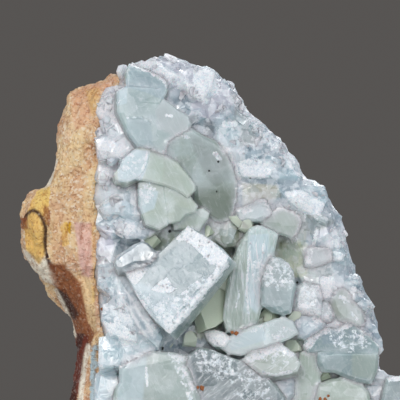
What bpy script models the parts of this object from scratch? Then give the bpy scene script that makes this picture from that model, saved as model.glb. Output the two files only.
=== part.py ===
"""Baryte on matrix.

A cabinet specimen: a slab of orange-brown wall rock with a vein of milky baryte grown on it.
The broken vein makes a white rim round a hollow, and blue-green tabular crystals stand in the
hollow and lean out of it. The specimen stands on a flat sawn base.

+X is to the right, +Y runs to the back and +Z is up. The outlines are points of the front view,
in pixels of the photograph. Lengths are in metres, and in millimetres in the crystals' lists.
"""

import random

import bmesh
import bpy
from mathutils import Matrix, Vector
from mathutils.bvhtree import BVHTree

# Driving dimensions
SHOWN_HEIGHT = 0.086
BELOW_PICTURE = 0.018
VEIN_THICKNESS = 0.016
VEIN_ROUNDING = 0.004
ROCK_FRONT = -0.0085
ROCK_BACK = 0.021
ROCK_ROUNDING = 0.005
PLATE_FRONT = 0.003
PLATE_BACK = 0.024
PLATE_ROUNDING = 0.006
HOLLOW_FLOOR = -0.001
HOLLOW_DEPTH = 0.010
SWELL = 0.0004
GAP = 0.0003
ROUGH_GAP = 0.0011
GROUND_HALF_WIDTH = 0.2
GROUND_DEPTH = 0.05

# Where the front view lies in the picture, in its pixels
CREST_ROW = 56
LOWEST_ROW = 400
MIDDLE_COLUMN = 216.5
SCALE = SHOWN_HEIGHT / (LOWEST_ROW - CREST_ROW)
MIDDLE_DEPTH = 0.0014

# How much of its depth the back keeps at the crest and at the right rim
CREST_SHARE = 0.55
RIM_SHARE = 0.70
RIM_X = 0.045

# Fineness of the fused masses
VOXEL = 0.0013
VEIN_FACES = 1400
ROOM_FACES = 2600
CRUST_FACES = 4700
MATRIX_FACES = 1600
CRYSTAL_SHARE = 0.8
WELD = 0.000002
SEED = 11

# Outlines of the masses
VEIN_OUTLINE = [
    (118, 77), (131, 63), (154, 57), (170, 57), (183, 62), (196, 67), (214, 69), (222, 78),
    (235, 90), (247, 107), (262, 125), (278, 138), (292, 155), (301, 171), (306, 179),
    (324, 186), (331, 198), (336, 210), (347, 234), (350, 262), (360, 285), (371, 306),
    (377, 329), (383, 345), (377, 357), (377, 370), (400, 377), (411, 384), (413, 420),
    (405, 474), (84, 474), (88, 400), (90, 370), (88, 352), (96, 320), (93, 300), (95, 265),
    (93, 215), (92, 150), (100, 128), (96, 112), (100, 98)]
MATRIX_OUTLINE = [
    (122, 79), (105, 81), (96, 87), (76, 92), (73, 97), (74, 114), (63, 144), (49, 174),
    (48, 183), (41, 189), (34, 205), (22, 221), (20, 231), (24, 253), (33, 271), (55, 281),
    (71, 306), (77, 338), (76, 350), (73, 382), (70, 400), (72, 430), (76, 474), (125, 474),
    (125, 300)]
BACK_OUTLINE = [
    (105, 84), (128, 74), (165, 72), (205, 84), (240, 116), (272, 146), (296, 190),
    (318, 215), (334, 262), (352, 308), (364, 350), (372, 400), (385, 474), (90, 474),
    (84, 300), (86, 150)]

# Swellings of the vein, each a middle (column, row), a depth, and radii along X, Y and Z
VEIN_SWELLINGS = [
    ((143, 312), -0.0045, (0.0115, 0.0110, 0.0165)),
    ((146, 150), -0.0040, (0.0125, 0.0085, 0.0200)),
    ((178, 232), -0.0030, (0.0110, 0.0085, 0.0120)),
    ((110, 200), -0.0030, (0.0050, 0.0080, 0.0130)),
    ((108, 264), -0.0030, (0.0045, 0.0080, 0.0110)),
    ((345, 350), -0.0020, (0.0085, 0.0075, 0.0090)),
    ((165, 425), -0.0040, (0.0170, 0.0110, 0.0150)),
    ((245, 425), -0.0030, (0.0180, 0.0095, 0.0150)),
    ((345, 430), -0.0020, (0.0170, 0.0085, 0.0130)),
    ((320, 300), -0.0010, (0.0080, 0.0075, 0.0100)),
]
MATRIX_SWELLINGS = [
    ((38, 228), -0.0005, (0.0045, 0.0110, 0.0095)),
    ((78, 150), 0.0040, (0.0040, 0.0135, 0.0140)),
    ((72, 240), 0.0060, (0.0090, 0.0170, 0.0180)),
    ((100, 440), 0.0080, (0.0100, 0.0150, 0.0110)),
    ((200, 330), 0.0140, (0.0230, 0.0110, 0.0300)),
    ((260, 420), 0.0130, (0.0300, 0.0100, 0.0160)),
]
HOLLOW_MIDDLE = (254, 280)
HOLLOW_HALF_WIDTH = 0.0140
HOLLOW_HALF_HEIGHT = 0.0185

# The crystals that stand as pieces of their own, front ones first. Each is a list of tablets:
# outline, depth of the face, lean of the face (how far it runs back per unit to the right
# and per unit up), thickness and chamfer, the last three lengths in millimetres.
CRYSTALS = {
    "great_tablet": [
        ([(150, 262), (163, 250), (176, 238), (188, 226), (205, 236), (222, 249), (229, 257),
          (216, 276), (196, 301), (183, 317), (170, 331), (158, 320), (146, 306), (137, 292),
          (127, 273), (129, 269), (141, 267)], -19.5, (-0.25, 0.28), 6.5, 0.25)],
    "leaf_tablet": [
        ([(115, 262), (118, 255), (126, 250), (135, 244), (143, 241), (148, 243), (157, 252),
          (158, 258), (150, 262), (140, 265), (127, 268), (118, 268)],
         -17.0, (-0.10, 0.30), 9.0, 0.5)],
    "broad_lower_tablet": [
        ([(121, 367), (132, 360), (150, 351), (172, 351), (188, 355), (184, 364), (190, 370),
          (192, 380), (198, 392), (203, 412), (198, 440), (170, 452), (130, 450), (112, 430),
          (114, 400), (117, 386), (121, 380)], -17.0, (0.00, 0.14), 12.0, 0.6)],
    "frosted_block": [
        ([(188, 354), (200, 346), (215, 350), (235, 358), (247, 360), (262, 371), (275, 384),
          (284, 396), (288, 420), (270, 440), (225, 446), (205, 432), (200, 400), (193, 380),
          (186, 364)], -15.5, (0.05, 0.12), 12.0, 0.6)],
    "wedge_crystal": [
        ([(243, 357), (252, 350), (264, 346), (277, 341), (285, 346), (293, 352), (299, 361),
          (296, 368), (287, 371), (275, 372), (262, 371), (252, 364)],
         -15.0, (0.05, 0.30), 12.0, 0.4)],
    "slanting_bar": [
        ([(218, 345), (224, 338), (233, 335), (250, 327), (263, 323), (264, 345), (252, 350),
          (240, 354), (228, 352)], -14.0, (-0.15, -0.10), 12.0, 0.4),
        ([(262, 323), (275, 318), (284, 317), (292, 320), (297, 332), (289, 337), (277, 341),
          (262, 345)], -13.6, (0.25, 0.10), 12.0, 0.4),
        ([(204, 331), (214, 329), (222, 331), (230, 337), (224, 345), (214, 344), (208, 339)],
         -13.0, (-0.30, 0.30), 10.0, 0.3)],
    "middle_fan_tablets": [
        ([(137, 150), (151, 149), (163, 156), (177, 163), (188, 176), (195, 185), (195, 190),
          (188, 197), (178, 190), (165, 185), (150, 181), (133, 178), (122, 170), (124, 160)],
         -15.2, (0.15, 0.15), 9.0, 0.3),
        ([(124, 160), (136, 150), (151, 149), (149, 160), (146, 168), (141, 176), (128, 182),
          (117, 179), (116, 174), (121, 168)], -15.9, (0.05, 0.20), 8.0, 0.2),
        ([(140, 183), (150, 181), (166, 186), (169, 191), (170, 205), (168, 224), (160, 229),
          (147, 224), (141, 206)], -15.0, (0.10, 0.10), 9.0, 0.3),
        ([(164, 186), (178, 190), (190, 197), (197, 206), (195, 212), (186, 214), (180, 221),
          (168, 223)], -14.4, (0.15, 0.05), 9.0, 0.3),
        ([(174, 210), (190, 212), (203, 209), (209, 213), (208, 218), (203, 224), (199, 231),
          (188, 228), (175, 229)], -12.4, (0.20, -0.05), 9.0, 0.3)],
    "upper_blade_stack": [
        ([(130, 65), (150, 73), (166, 82), (167, 92), (160, 104), (128, 104), (127, 72)],
         -11.5, (0.05, 0.35), 9.0, 0.3),
        ([(119, 92), (128, 87), (160, 89), (164, 100), (177, 110), (188, 117), (191, 124),
          (186, 131), (177, 135), (168, 142), (164, 154), (150, 149), (138, 145), (128, 131),
          (119, 112)], -13.5, (0.12, 0.18), 10.0, 0.4),
        ([(128, 120), (150, 119), (160, 126), (172, 135), (167, 143), (164, 153), (150, 149),
          (139, 145), (131, 137)], -14.2, (0.10, 0.10), 6.0, 0.3)],
    "grey_green_blade": [
        ([(164, 156), (167, 142), (180, 136), (187, 131), (192, 130), (205, 138), (214, 142),
          (226, 153), (231, 163), (235, 175), (238, 187), (240, 197), (238, 209), (230, 221),
          (221, 222), (212, 217), (203, 209), (197, 200), (196, 188), (187, 174), (177, 163)],
         -10.5, (0.28, -0.10), 12.0, 0.6)],
    "round_tablet": [
        ([(272, 257), (280, 258), (287, 263), (292, 270), (294, 281), (293, 295), (290, 311),
          (283, 313), (272, 310), (262, 303), (262, 280), (266, 265)],
         -13.2, (0.10, 0.12), 16.5, 0.6)],
    "striated_prism": [
        ([(250, 229), (257, 226), (262, 227), (277, 234), (272, 257), (268, 275), (262, 295),
          (258, 318), (250, 327), (238, 332), (228, 329), (224, 318), (226, 300), (229, 280),
          (233, 262), (240, 246), (245, 236)], -12.5, (0.08, 0.05), 17.0, 0.6)],
    "tall_prism": [
        ([(300, 352), (309, 350), (318, 352), (320, 362), (318, 378), (316, 392), (312, 420),
          (296, 425), (287, 405), (290, 385), (296, 368)], -11.0, (-0.15, 0.05), 14.0, 0.5)],
    "blue_block": [
        ([(308, 349), (303, 343), (312, 333), (324, 327), (336, 329), (348, 322), (358, 328),
          (368, 336), (377, 345), (376, 352), (350, 353), (330, 352)],
         -10.2, (0.05, 0.50), 12.0, 0.4),
        ([(318, 352), (335, 350), (377, 350), (376, 368), (370, 382), (358, 380), (345, 376),
          (335, 371), (322, 370), (318, 362)], -12.0, (0.15, -0.08), 13.0, 0.8)],
    "bottom_oval_tablet": [
        ([(317, 383), (330, 378), (343, 376), (352, 380), (362, 385), (368, 392), (370, 410),
          (360, 425), (330, 428), (314, 415), (315, 398)], -12.0, (0.10, 0.15), 13.0, 0.8)],
    "corner_blade": [
        ([(386, 378), (392, 375), (404, 376), (412, 384), (413, 405), (408, 430), (390, 440),
          (378, 428), (381, 400)], -10.5, (0.12, 0.12), 10.0, 0.4)],
    "white_knobs": [
        ([(296, 285), (303, 281), (310, 283), (317, 285), (320, 297), (319, 312), (306, 312),
          (300, 311), (293, 310), (293, 298)], -10.5, (-0.10, 0.25), 12.0, 1.2),
        ([(314, 298), (328, 300), (332, 308), (334, 315), (329, 319), (322, 319), (313, 315)],
         -9.6, (0.20, 0.20), 12.0, 1.0)],
    "grey_oval_tablet": [
        ([(330, 297), (336, 289), (343, 286), (349, 290), (356, 300), (362, 309), (364, 318),
          (361, 328), (352, 323), (341, 318), (335, 312)], -8.5, (0.28, 0.12), 10.0, 0.9)],
    "small_bar_tablet": [
        ([(237, 218), (238, 210), (250, 202), (258, 198), (266, 196), (269, 199), (271, 214),
          (260, 219), (252, 220), (246, 219), (240, 222)], -8.5, (0.10, 0.25), 10.0, 0.5)],
    "hanging_tablet": [
        ([(261, 222), (268, 216), (278, 210), (284, 209), (291, 212), (298, 217), (301, 221),
          (299, 228), (296, 235), (291, 238), (280, 234), (263, 228)],
         -8.0, (0.00, -0.10), 9.0, 0.6)],
    "box_crystal": [
        ([(306, 250), (310, 247), (320, 247), (329, 249), (330, 259), (322, 262), (313, 265),
          (305, 265), (304, 261), (306, 256)], -9.0, (-0.10, 0.10), 10.0, 0.4)],
}

# Smaller crystals grown into the vein, in the same form
GROWN_IN = [
    ([(106, 90), (118, 86), (118, 118), (106, 124), (97, 113), (100, 100)],
     -9.5, (-0.15, 0.20), 7.0, 0.3),
    ([(103, 122), (118, 121), (128, 126), (128, 131), (120, 138), (108, 132)],
     -11.5, (0.05, 0.35), 8.0, 0.3),
    ([(97, 140), (110, 134), (127, 137), (137, 146), (136, 151), (121, 158), (100, 158)],
     -12.0, (0.05, 0.25), 8.0, 0.3),
    ([(100, 162), (112, 159), (120, 168), (118, 182), (104, 186), (96, 176)],
     -10.5, (-0.10, 0.10), 7.0, 0.3),
    ([(112, 196), (140, 188), (158, 196), (156, 214), (138, 217), (114, 212)],
     -13.0, (0.05, 0.15), 8.0, 0.4),
    ([(100, 206), (114, 208), (132, 220), (134, 232), (112, 236), (97, 224)],
     -11.0, (-0.05, 0.25), 7.0, 0.3),
    ([(132, 216), (150, 222), (162, 229), (150, 236), (128, 238), (118, 230)],
     -13.0, (0.05, 0.30), 7.0, 0.3),
    ([(97, 240), (118, 238), (114, 258), (104, 264), (96, 254)],
     -10.5, (-0.20, 0.20), 7.0, 0.3),
    ([(98, 268), (116, 270), (132, 286), (136, 300), (112, 296), (98, 284)],
     -13.0, (-0.10, 0.25), 8.0, 0.3),
    ([(104, 302), (120, 300), (134, 318), (138, 340), (112, 334), (102, 318)],
     -14.5, (-0.15, 0.20), 8.0, 0.3),
    ([(132, 300), (144, 310), (162, 336), (158, 346), (146, 334), (134, 314)],
     -16.2, (-0.20, 0.10), 6.0, 0.3),
    ([(100, 336), (128, 332), (156, 338), (154, 350), (130, 360), (100, 366)],
     -14.5, (0.00, 0.30), 8.0, 0.3),
    ([(96, 372), (112, 368), (119, 382), (112, 404), (96, 404)],
     -12.5, (-0.20, 0.20), 8.0, 0.3),
    ([(133, 66), (150, 60), (160, 62), (164, 78), (152, 74)], -9.0, (-0.10, 0.30), 6.0, 0.3),
    ([(163, 61), (178, 62), (180, 76), (172, 84), (162, 76)], -9.2, (0.05, 0.15), 6.0, 0.3),
    ([(184, 72), (198, 68), (214, 72), (212, 90), (198, 100), (186, 88)],
     -9.6, (0.10, 0.20), 7.0, 0.3),
    ([(192, 98), (206, 94), (214, 110), (212, 124), (198, 122), (190, 110)],
     -8.8, (0.15, 0.05), 7.0, 0.3),
    ([(216, 84), (228, 86), (240, 100), (236, 116), (222, 112)],
     -8.2, (0.30, 0.15), 6.0, 0.3),
    ([(166, 86), (182, 92), (190, 104), (186, 114), (172, 106)],
     -7.4, (0.10, -0.10), 6.0, 0.3),
    ([(216, 137), (222, 128), (232, 123), (246, 127), (252, 142), (240, 154), (226, 152)],
     -9.0, (0.10, 0.30), 8.0, 0.4),
    ([(250, 128), (264, 130), (279, 140), (284, 152), (268, 160), (252, 154)],
     -8.0, (0.25, 0.20), 7.0, 0.4),
    ([(236, 162), (248, 158), (264, 163), (270, 172), (262, 178), (242, 176)],
     -9.2, (0.05, 0.30), 8.0, 0.3),
    ([(243, 184), (256, 180), (274, 186), (282, 196), (268, 202), (246, 206)],
     -6.4, (0.05, -0.20), 8.0, 0.4),
    ([(286, 172), (300, 176), (304, 192), (292, 204), (280, 192)],
     -8.4, (0.20, 0.10), 7.0, 0.3),
    ([(304, 184), (320, 186), (328, 200), (318, 212), (302, 206)],
     -8.4, (0.20, 0.25), 7.0, 0.3),
    ([(298, 214), (318, 213), (332, 222), (322, 229), (311, 233), (298, 236)],
     -5.6, (0.10, -0.30), 8.0, 0.4),
    ([(316, 232), (325, 225), (330, 224), (336, 228), (341, 243), (330, 247), (316, 247)],
     -8.4, (0.15, 0.15), 8.0, 0.4),
    ([(330, 249), (342, 246), (349, 256), (350, 266), (340, 262)],
     -6.6, (0.40, 0.10), 8.0, 0.3),
    ([(296, 268), (316, 266), (326, 262), (340, 266), (344, 280), (326, 282), (302, 280)],
     -6.8, (0.10, 0.20), 8.0, 0.5),
    ([(320, 278), (334, 278), (346, 284), (334, 290), (326, 298), (318, 290)],
     -8.8, (0.10, 0.25), 8.0, 0.3),
    ([(352, 282), (362, 290), (371, 307), (368, 318), (358, 304)],
     -5.4, (0.45, 0.15), 7.0, 0.3),
    ([(364, 320), (372, 322), (382, 338), (383, 350), (372, 340)],
     -6.0, (0.40, 0.20), 8.0, 0.3),
    ([(296, 316), (312, 314), (324, 320), (314, 330), (300, 336), (294, 326)],
     -10.8, (0.00, 0.30), 8.0, 0.4),
    ([(375, 376), (376, 371), (381, 369), (386, 373), (386, 379), (380, 381)],
     -8.4, (0.10, 0.20), 8.0, 0.4),
    ([(368, 393), (375, 384), (384, 380), (381, 400), (378, 428), (366, 425)],
     -7.6, (-0.30, 0.05), 8.0, 0.4),
    ([(207, 300), (222, 282), (228, 300), (229, 330), (216, 331), (204, 328), (200, 312)],
     -5.4, (-0.25, 0.10), 9.0, 0.5),
    ([(174, 340), (184, 326), (197, 321), (205, 330), (206, 343), (192, 347)],
     -9.8, (0.10, 0.20), 7.0, 0.5),
    ([(262, 372), (278, 374), (292, 374), (292, 392), (286, 402), (276, 386)],
     -11.4, (-0.10, 0.10), 8.0, 0.4),
    ([(218, 226), (230, 221), (236, 228), (232, 244), (224, 246), (214, 238)],
     -8.2, (-0.15, 0.10), 9.0, 0.5),
    ([(234, 232), (246, 232), (248, 244), (240, 250), (233, 246)],
     -7.0, (-0.20, 0.05), 9.0, 0.5),
    ([(92, 420), (112, 414), (116, 440), (104, 462), (90, 452)],
     -12.0, (-0.20, 0.10), 8.0, 0.4),
    ([(120, 452), (148, 448), (160, 462), (140, 476), (112, 476)],
     -13.5, (0.00, -0.10), 8.0, 0.5),
    ([(166, 450), (192, 440), (206, 456), (200, 476), (164, 476)],
     -13.0, (0.10, 0.00), 8.0, 0.5),
    ([(214, 452), (240, 446), (258, 460), (250, 478), (212, 478)],
     -12.5, (-0.10, 0.10), 8.0, 0.5),
    ([(262, 448), (284, 436), (302, 446), (300, 478), (260, 478)],
     -11.5, (0.10, 0.15), 8.0, 0.5),
    ([(304, 430), (326, 434), (342, 450), (336, 478), (304, 478)],
     -11.5, (0.15, 0.00), 8.0, 0.5),
    ([(344, 440), (366, 430), (384, 446), (388, 478), (342, 478)],
     -11.0, (0.10, 0.10), 8.0, 0.5),
]

# Broken chips on the rim: bands of the picture where they sit, as two ends of a line, a
# width and a count
CHIP_BANDS = [
    ((130, 74), (214, 82), 6, 8),
    ((214, 90), (296, 184), 8, 11),
    ((300, 192), (342, 262), 6, 6),
    ((346, 272), (372, 340), 4, 4),
    ((106, 100), (104, 300), 5, 9),
    ((180, 100), (232, 128), 10, 5),
    ((240, 150), (306, 208), 12, 7),
]
CHIP_SIZE = (0.0024, 0.0046)
CHIP_THINNESS = 0.55
CHIP_DEPTH = 0.0004
CHIP_BROKEN_CORNER = 0.45
CHIP_TURN = 0.9
CHIP_TILT = 0.4
IN_FRONT = -0.1
FACING_FRONT = -0.6

MATERIALS = {
    "wall_rock": ((0.55, 0.33, 0.18), 0.85),
    "vein_baryte": ((0.74, 0.79, 0.81), 0.50),
    "baryte": ((0.60, 0.69, 0.69), 0.30),
}


def clear_scene():
    """Remove whatever the open file holds."""
    for thing in list(bpy.context.scene.objects):
        bpy.data.objects.remove(thing)


def collection(name):
    """A new collection of the scene."""
    made = bpy.data.collections.new(name)
    bpy.context.scene.collection.children.link(made)
    return made


def material(name):
    """One of the specimen's plain materials."""
    colour, roughness = MATERIALS[name]
    made = bpy.data.materials.new(name)
    made.use_nodes = True
    shader = made.node_tree.nodes["Principled BSDF"]
    shader.inputs["Base Color"].default_value = (*colour, 1)
    shader.inputs["Roughness"].default_value = roughness
    return made


def place(pixel, depth):
    """Point of the specimen behind a pixel of the front view."""
    column, row = pixel
    height = (LOWEST_ROW - row) * SCALE + BELOW_PICTURE
    return Vector(((column - MIDDLE_COLUMN) * SCALE, depth - MIDDLE_DEPTH, height))


def new_object(name, mesh, group):
    """Link a mesh to a collection as an object at the origin."""
    made = bpy.data.objects.new(name, mesh)
    group.objects.link(made)
    return made


def evaluated_mesh(thing):
    """The object's mesh with its modifiers, or its curve made solid, in world space."""
    graph = bpy.context.evaluated_depsgraph_get()
    mesh = bpy.data.meshes.new_from_object(thing.evaluated_get(graph), depsgraph=graph)
    mesh.transform(thing.matrix_world)
    return mesh


def weld(mesh):
    """Close the seams of a mesh and turn its faces out."""
    shape = bmesh.new()
    shape.from_mesh(mesh)
    bmesh.ops.remove_doubles(shape, verts=shape.verts, dist=WELD)
    bmesh.ops.recalc_face_normals(shape, faces=shape.faces)
    shape.to_mesh(mesh)
    shape.free()


def keep_largest(mesh):
    """Drop the crumbs that a cut leaves beside the main body."""
    shape = bmesh.new()
    shape.from_mesh(mesh)
    bmesh.ops.triangulate(shape, faces=shape.faces)
    waiting = set(shape.verts)
    islands = []
    while waiting:
        front = [waiting.pop()]
        island = set(front)
        while front:
            vertex = front.pop()
            for edge in vertex.link_edges:
                other = edge.other_vert(vertex)
                if other in waiting:
                    waiting.remove(other)
                    island.add(other)
                    front.append(other)
        islands.append(island)
    islands.sort(key=len)
    for island in islands[:-1]:
        bmesh.ops.delete(shape, geom=list(island), context="VERTS")
    shape.to_mesh(mesh)
    shape.free()


def slab(name, outline, front, back, rounding, group):
    """A flat outline drawn out along Y, with rounded or chamfered edges."""
    curve = bpy.data.curves.new(name, "CURVE")
    curve.dimensions = "2D"
    curve.fill_mode = "BOTH"
    curve.extrude = (back - front) / 2 - rounding
    curve.bevel_depth = rounding
    curve.bevel_resolution = 2
    curve.offset = -rounding - SWELL
    spline = curve.splines.new("POLY")
    spline.points.add(len(outline) - 1)
    spline.use_cyclic_u = True
    for point, pixel in zip(spline.points, outline):
        spot = place(pixel, 0)
        point.co = (spot.x, spot.z, 0, 1)
    drawn = bpy.data.objects.new(name, curve)
    drawn.matrix_world = Matrix.Translation((0, (front + back) / 2 - MIDDLE_DEPTH, 0)) @ Matrix(
        ((1, 0, 0, 0), (0, 0, -1, 0), (0, 1, 0, 0), (0, 0, 0, 1)))
    return solid_curve(drawn, group)


def tablet(name, shape, group, room=0.0):
    """A tabular crystal: its face has the outline seen from the front, and leans.

    With some room, the crystal is that much larger all round, to cut its neighbours with.
    """
    outline, depth, lean, thickness, chamfer = shape
    depth, thickness, chamfer = depth / 1000, thickness / 1000, chamfer / 1000
    corners = [place(pixel, 0) for pixel in outline]
    middle = sum(corners, Vector()) / len(corners)
    normal = Vector((lean[0], -1, lean[1])).normalized()
    across = Vector((0, 0, 1)).cross(normal).normalized()
    upward = normal.cross(across)
    curve = bpy.data.curves.new(name, "CURVE")
    curve.dimensions = "2D"
    curve.fill_mode = "BOTH"
    curve.extrude = thickness / 2 - chamfer + room
    curve.bevel_depth = chamfer
    curve.bevel_resolution = 0
    curve.offset = room - chamfer
    spline = curve.splines.new("POLY")
    spline.points.add(len(corners) - 1)
    spline.use_cyclic_u = True
    for point, corner in zip(spline.points, corners):
        step = corner - middle
        step.y = lean[0] * step.x + lean[1] * step.z
        point.co = (step.dot(across), step.dot(upward), 0, 1)
    face_middle = Vector((middle.x, depth - MIDDLE_DEPTH, middle.z))
    turn = Matrix((across, upward, normal)).transposed().to_4x4()
    drawn = bpy.data.objects.new(name, curve)
    drawn.matrix_world = Matrix.Translation(face_middle - normal * thickness / 2) @ turn
    return solid_curve(drawn, group)


def solid_curve(drawn, group):
    """Turn a filled curve object into a closed mesh object at the origin."""
    bpy.context.scene.collection.objects.link(drawn)
    bpy.context.view_layer.update()
    mesh = evaluated_mesh(drawn)
    weld(mesh)
    name = drawn.name
    bpy.data.objects.remove(drawn)
    mesh.materials.clear()
    return new_object(name, mesh, group)


def swelling(name, pixel, depth, radii, group):
    """A rounded lump of a mass."""
    shape = bmesh.new()
    bmesh.ops.create_icosphere(shape, subdivisions=3, radius=1)
    bmesh.ops.scale(shape, vec=Vector(radii), verts=shape.verts)
    bmesh.ops.translate(shape, vec=place(pixel, depth), verts=shape.verts)
    mesh = bpy.data.meshes.new(name)
    shape.to_mesh(mesh)
    shape.free()
    return new_object(name, mesh, group)


def join_shells(name, things, group):
    """Put closed shapes into one object, still as separate shells."""
    shape = bmesh.new()
    for thing in things:
        shape.from_mesh(thing.data)
        bpy.data.objects.remove(thing)
    mesh = bpy.data.meshes.new(name)
    shape.to_mesh(mesh)
    shape.free()
    return new_object(name, mesh, group)


def apply_modifiers(thing):
    """Replace an object's mesh with what its modifiers make of it."""
    bpy.context.view_layer.update()
    mesh = evaluated_mesh(thing)
    thing.modifiers.clear()
    thing.data = mesh


def roughen(thing, kind, size, strength):
    """Push a surface in and out by a noise of the given size."""
    texture = bpy.data.textures.new(f"{thing.name}_{kind.lower()}_{size * 1000:.0f}", kind)
    texture.noise_scale = size
    push = thing.modifiers.new("roughen", "DISPLACE")
    push.texture = texture
    push.texture_coords = "LOCAL"
    push.strength = strength
    push.mid_level = 0.5


def fuse(thing):
    """Fuse overlapping shells into one skin of even mesh."""
    step = thing.modifiers.new("fuse", "REMESH")
    step.mode = "VOXEL"
    step.voxel_size = VOXEL
    apply_modifiers(thing)


def thin_back(thing):
    """Make the back half of a mass thinner towards the crest and the right rim."""
    height = SHOWN_HEIGHT + BELOW_PICTURE
    for vertex in thing.data.vertices:
        if vertex.co.y > 0:
            rise = min(1, max(0, vertex.co.z / height))
            reach = min(1, max(0, vertex.co.x / RIM_X))
            share = 1 + (CREST_SHARE - 1) * rise ** 2
            vertex.co.y *= share * (1 + (RIM_SHARE - 1) * reach ** 2)


def thin_out(thing, faces):
    """Keep about that many triangles, where the shape needs them most."""
    step = thing.modifiers.new("thin", "DECIMATE")
    triangles = sum(len(face.vertices) - 2 for face in thing.data.polygons)
    step.ratio = min(1, faces / triangles)
    apply_modifiers(thing)
    keep_largest(thing.data)


def flatten_base(thing):
    """Bring the sawn base back to one plane after thinning."""
    for vertex in thing.data.vertices:
        if vertex.co.z < GAP:
            vertex.co.z = 0


def fused_mass(name, shells, roughness, faces, group):
    """Fuse overlapping shells into one rough, faceted mass."""
    mass = join_shells(name, shells, group)
    fuse(mass)
    thin_back(mass)
    for kind, size, strength in roughness:
        roughen(mass, kind, size, strength)
    apply_modifiers(mass)
    thin_out(mass, faces)
    return mass


def combine(target, other, operation):
    """Join another body to the target, or cut it out of the target."""
    step = target.modifiers.new("combine", "BOOLEAN")
    step.operation = operation
    step.solver = "EXACT"
    step.object = other
    apply_modifiers(target)


def swollen(thing, amount, group):
    """A copy of a rough mass, grown all round, to cut its neighbours with."""
    copy = new_object(thing.name + "_room", thing.data.copy(), group)
    grow = copy.modifiers.new("grow", "DISPLACE")
    grow.strength = amount
    grow.mid_level = 0
    apply_modifiers(copy)
    fuse(copy)
    thin_out(copy, ROOM_FACES)
    return copy


def box(name, low, high, group):
    """A block between two corners."""
    shape = bmesh.new()
    bmesh.ops.create_cube(shape, size=1)
    bmesh.ops.scale(shape, vec=high - low, verts=shape.verts)
    bmesh.ops.translate(shape, vec=(low + high) / 2, verts=shape.verts)
    mesh = bpy.data.meshes.new(name)
    shape.to_mesh(mesh)
    shape.free()
    return new_object(name, mesh, group)


def make_vein(pieces, cutters):
    """The fused vein baryte, with its hollow."""
    half = VEIN_THICKNESS / 2
    shells = [slab("vein_slab", VEIN_OUTLINE, -half, half, VEIN_ROUNDING, cutters)]
    for number, (pixel, depth, radii) in enumerate(VEIN_SWELLINGS):
        shells.append(swelling(f"vein_swelling_{number}", pixel, depth, radii, cutters))
    roughness = [("CLOUDS", 0.0060, 0.0022), ("VORONOI", 0.0030, 0.0012)]
    vein = fused_mass("baryte_crust", shells, roughness, VEIN_FACES, pieces)
    radii = (HOLLOW_HALF_WIDTH, HOLLOW_DEPTH, HOLLOW_HALF_HEIGHT)
    depth = HOLLOW_FLOOR - HOLLOW_DEPTH
    hollow = swelling("hollow", HOLLOW_MIDDLE, depth, radii, cutters)
    combine(vein, hollow, "DIFFERENCE")
    keep_largest(vein.data)
    return vein


def make_matrix(pieces, cutters):
    """The wall rock: a slab at the left and a plate behind the vein."""
    shells = [
        slab("rock_slab", MATRIX_OUTLINE, ROCK_FRONT, ROCK_BACK, ROCK_ROUNDING, cutters),
        slab("rock_plate", BACK_OUTLINE, PLATE_FRONT, PLATE_BACK, PLATE_ROUNDING, cutters)]
    for number, (pixel, depth, radii) in enumerate(MATRIX_SWELLINGS):
        shells.append(swelling(f"rock_swelling_{number}", pixel, depth, radii, cutters))
    roughness = [
        ("CLOUDS", 0.0200, 0.0060), ("CLOUDS", 0.0070, 0.0026), ("VORONOI", 0.0040, 0.0014)]
    return fused_mass("matrix", shells, roughness, MATRIX_FACES, pieces)


def chip(name, spot, size, spin, group, room=0.0):
    """A small broken crystal: a chamfered block turned at random."""
    shape = bmesh.new()
    bmesh.ops.create_cube(shape, size=1)
    bmesh.ops.scale(shape, vec=size + Vector((2, 2, 2)) * room, verts=shape.verts)
    corner = max(shape.verts, key=lambda vertex: vertex.co.x - vertex.co.y + vertex.co.z)
    bmesh.ops.bevel(shape, geom=[corner], offset=min(size) * CHIP_BROKEN_CORNER,
                     affect="VERTICES")
    bmesh.ops.rotate(shape, matrix=spin, verts=shape.verts)
    bmesh.ops.translate(shape, vec=spot, verts=shape.verts)
    mesh = bpy.data.meshes.new(name)
    shape.to_mesh(mesh)
    shape.free()
    return new_object(name, mesh, group)


def make_chips(vein, draw, cutters):
    """Broken chips set into the front of the rim, and the room that they need."""
    surface = skin(vein)
    chips = []
    rooms = []
    for start, end, width, count in CHIP_BANDS:
        for number in range(count):
            along = (number + draw.uniform(0.1, 0.9)) / count
            column = start[0] + (end[0] - start[0]) * along + draw.uniform(-width, width)
            row = start[1] + (end[1] - start[1]) * along + draw.uniform(-width, width)
            eye = place((column, row), IN_FRONT)
            spot, normal = surface.ray_cast(eye, Vector((0, 1, 0)))[:2]
            low, high = CHIP_SIZE
            size = Vector((draw.uniform(low, high), draw.uniform(low, high),
                           draw.uniform(low, high) * CHIP_THINNESS))
            spin = (Matrix.Rotation(draw.uniform(-CHIP_TURN, CHIP_TURN), 3, "Y")
                    @ Matrix.Rotation(draw.uniform(-CHIP_TILT, CHIP_TILT), 3, "X")
                    @ Matrix.Rotation(draw.uniform(-CHIP_TILT, CHIP_TILT), 3, "Z"))
            if spot is None or normal.y > FACING_FRONT:
                continue
            spot = spot + Vector((0, CHIP_DEPTH, 0))
            chips.append(chip(f"chip_{len(chips)}", spot, size, spin, cutters))
            rooms.append(chip(f"chip_room_{len(rooms)}", spot, size, spin, cutters, GAP))
    return chips, rooms


def make_crystal(name, tablets, pieces, cutters):
    """A crystal of one or more tablets grown together."""
    main = tablet(name, tablets[0], pieces)
    for shape in tablets[1:]:
        other = tablet("grown", shape, cutters)
        combine(main, other, "UNION")
        bpy.data.objects.remove(other)
    return main


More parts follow.
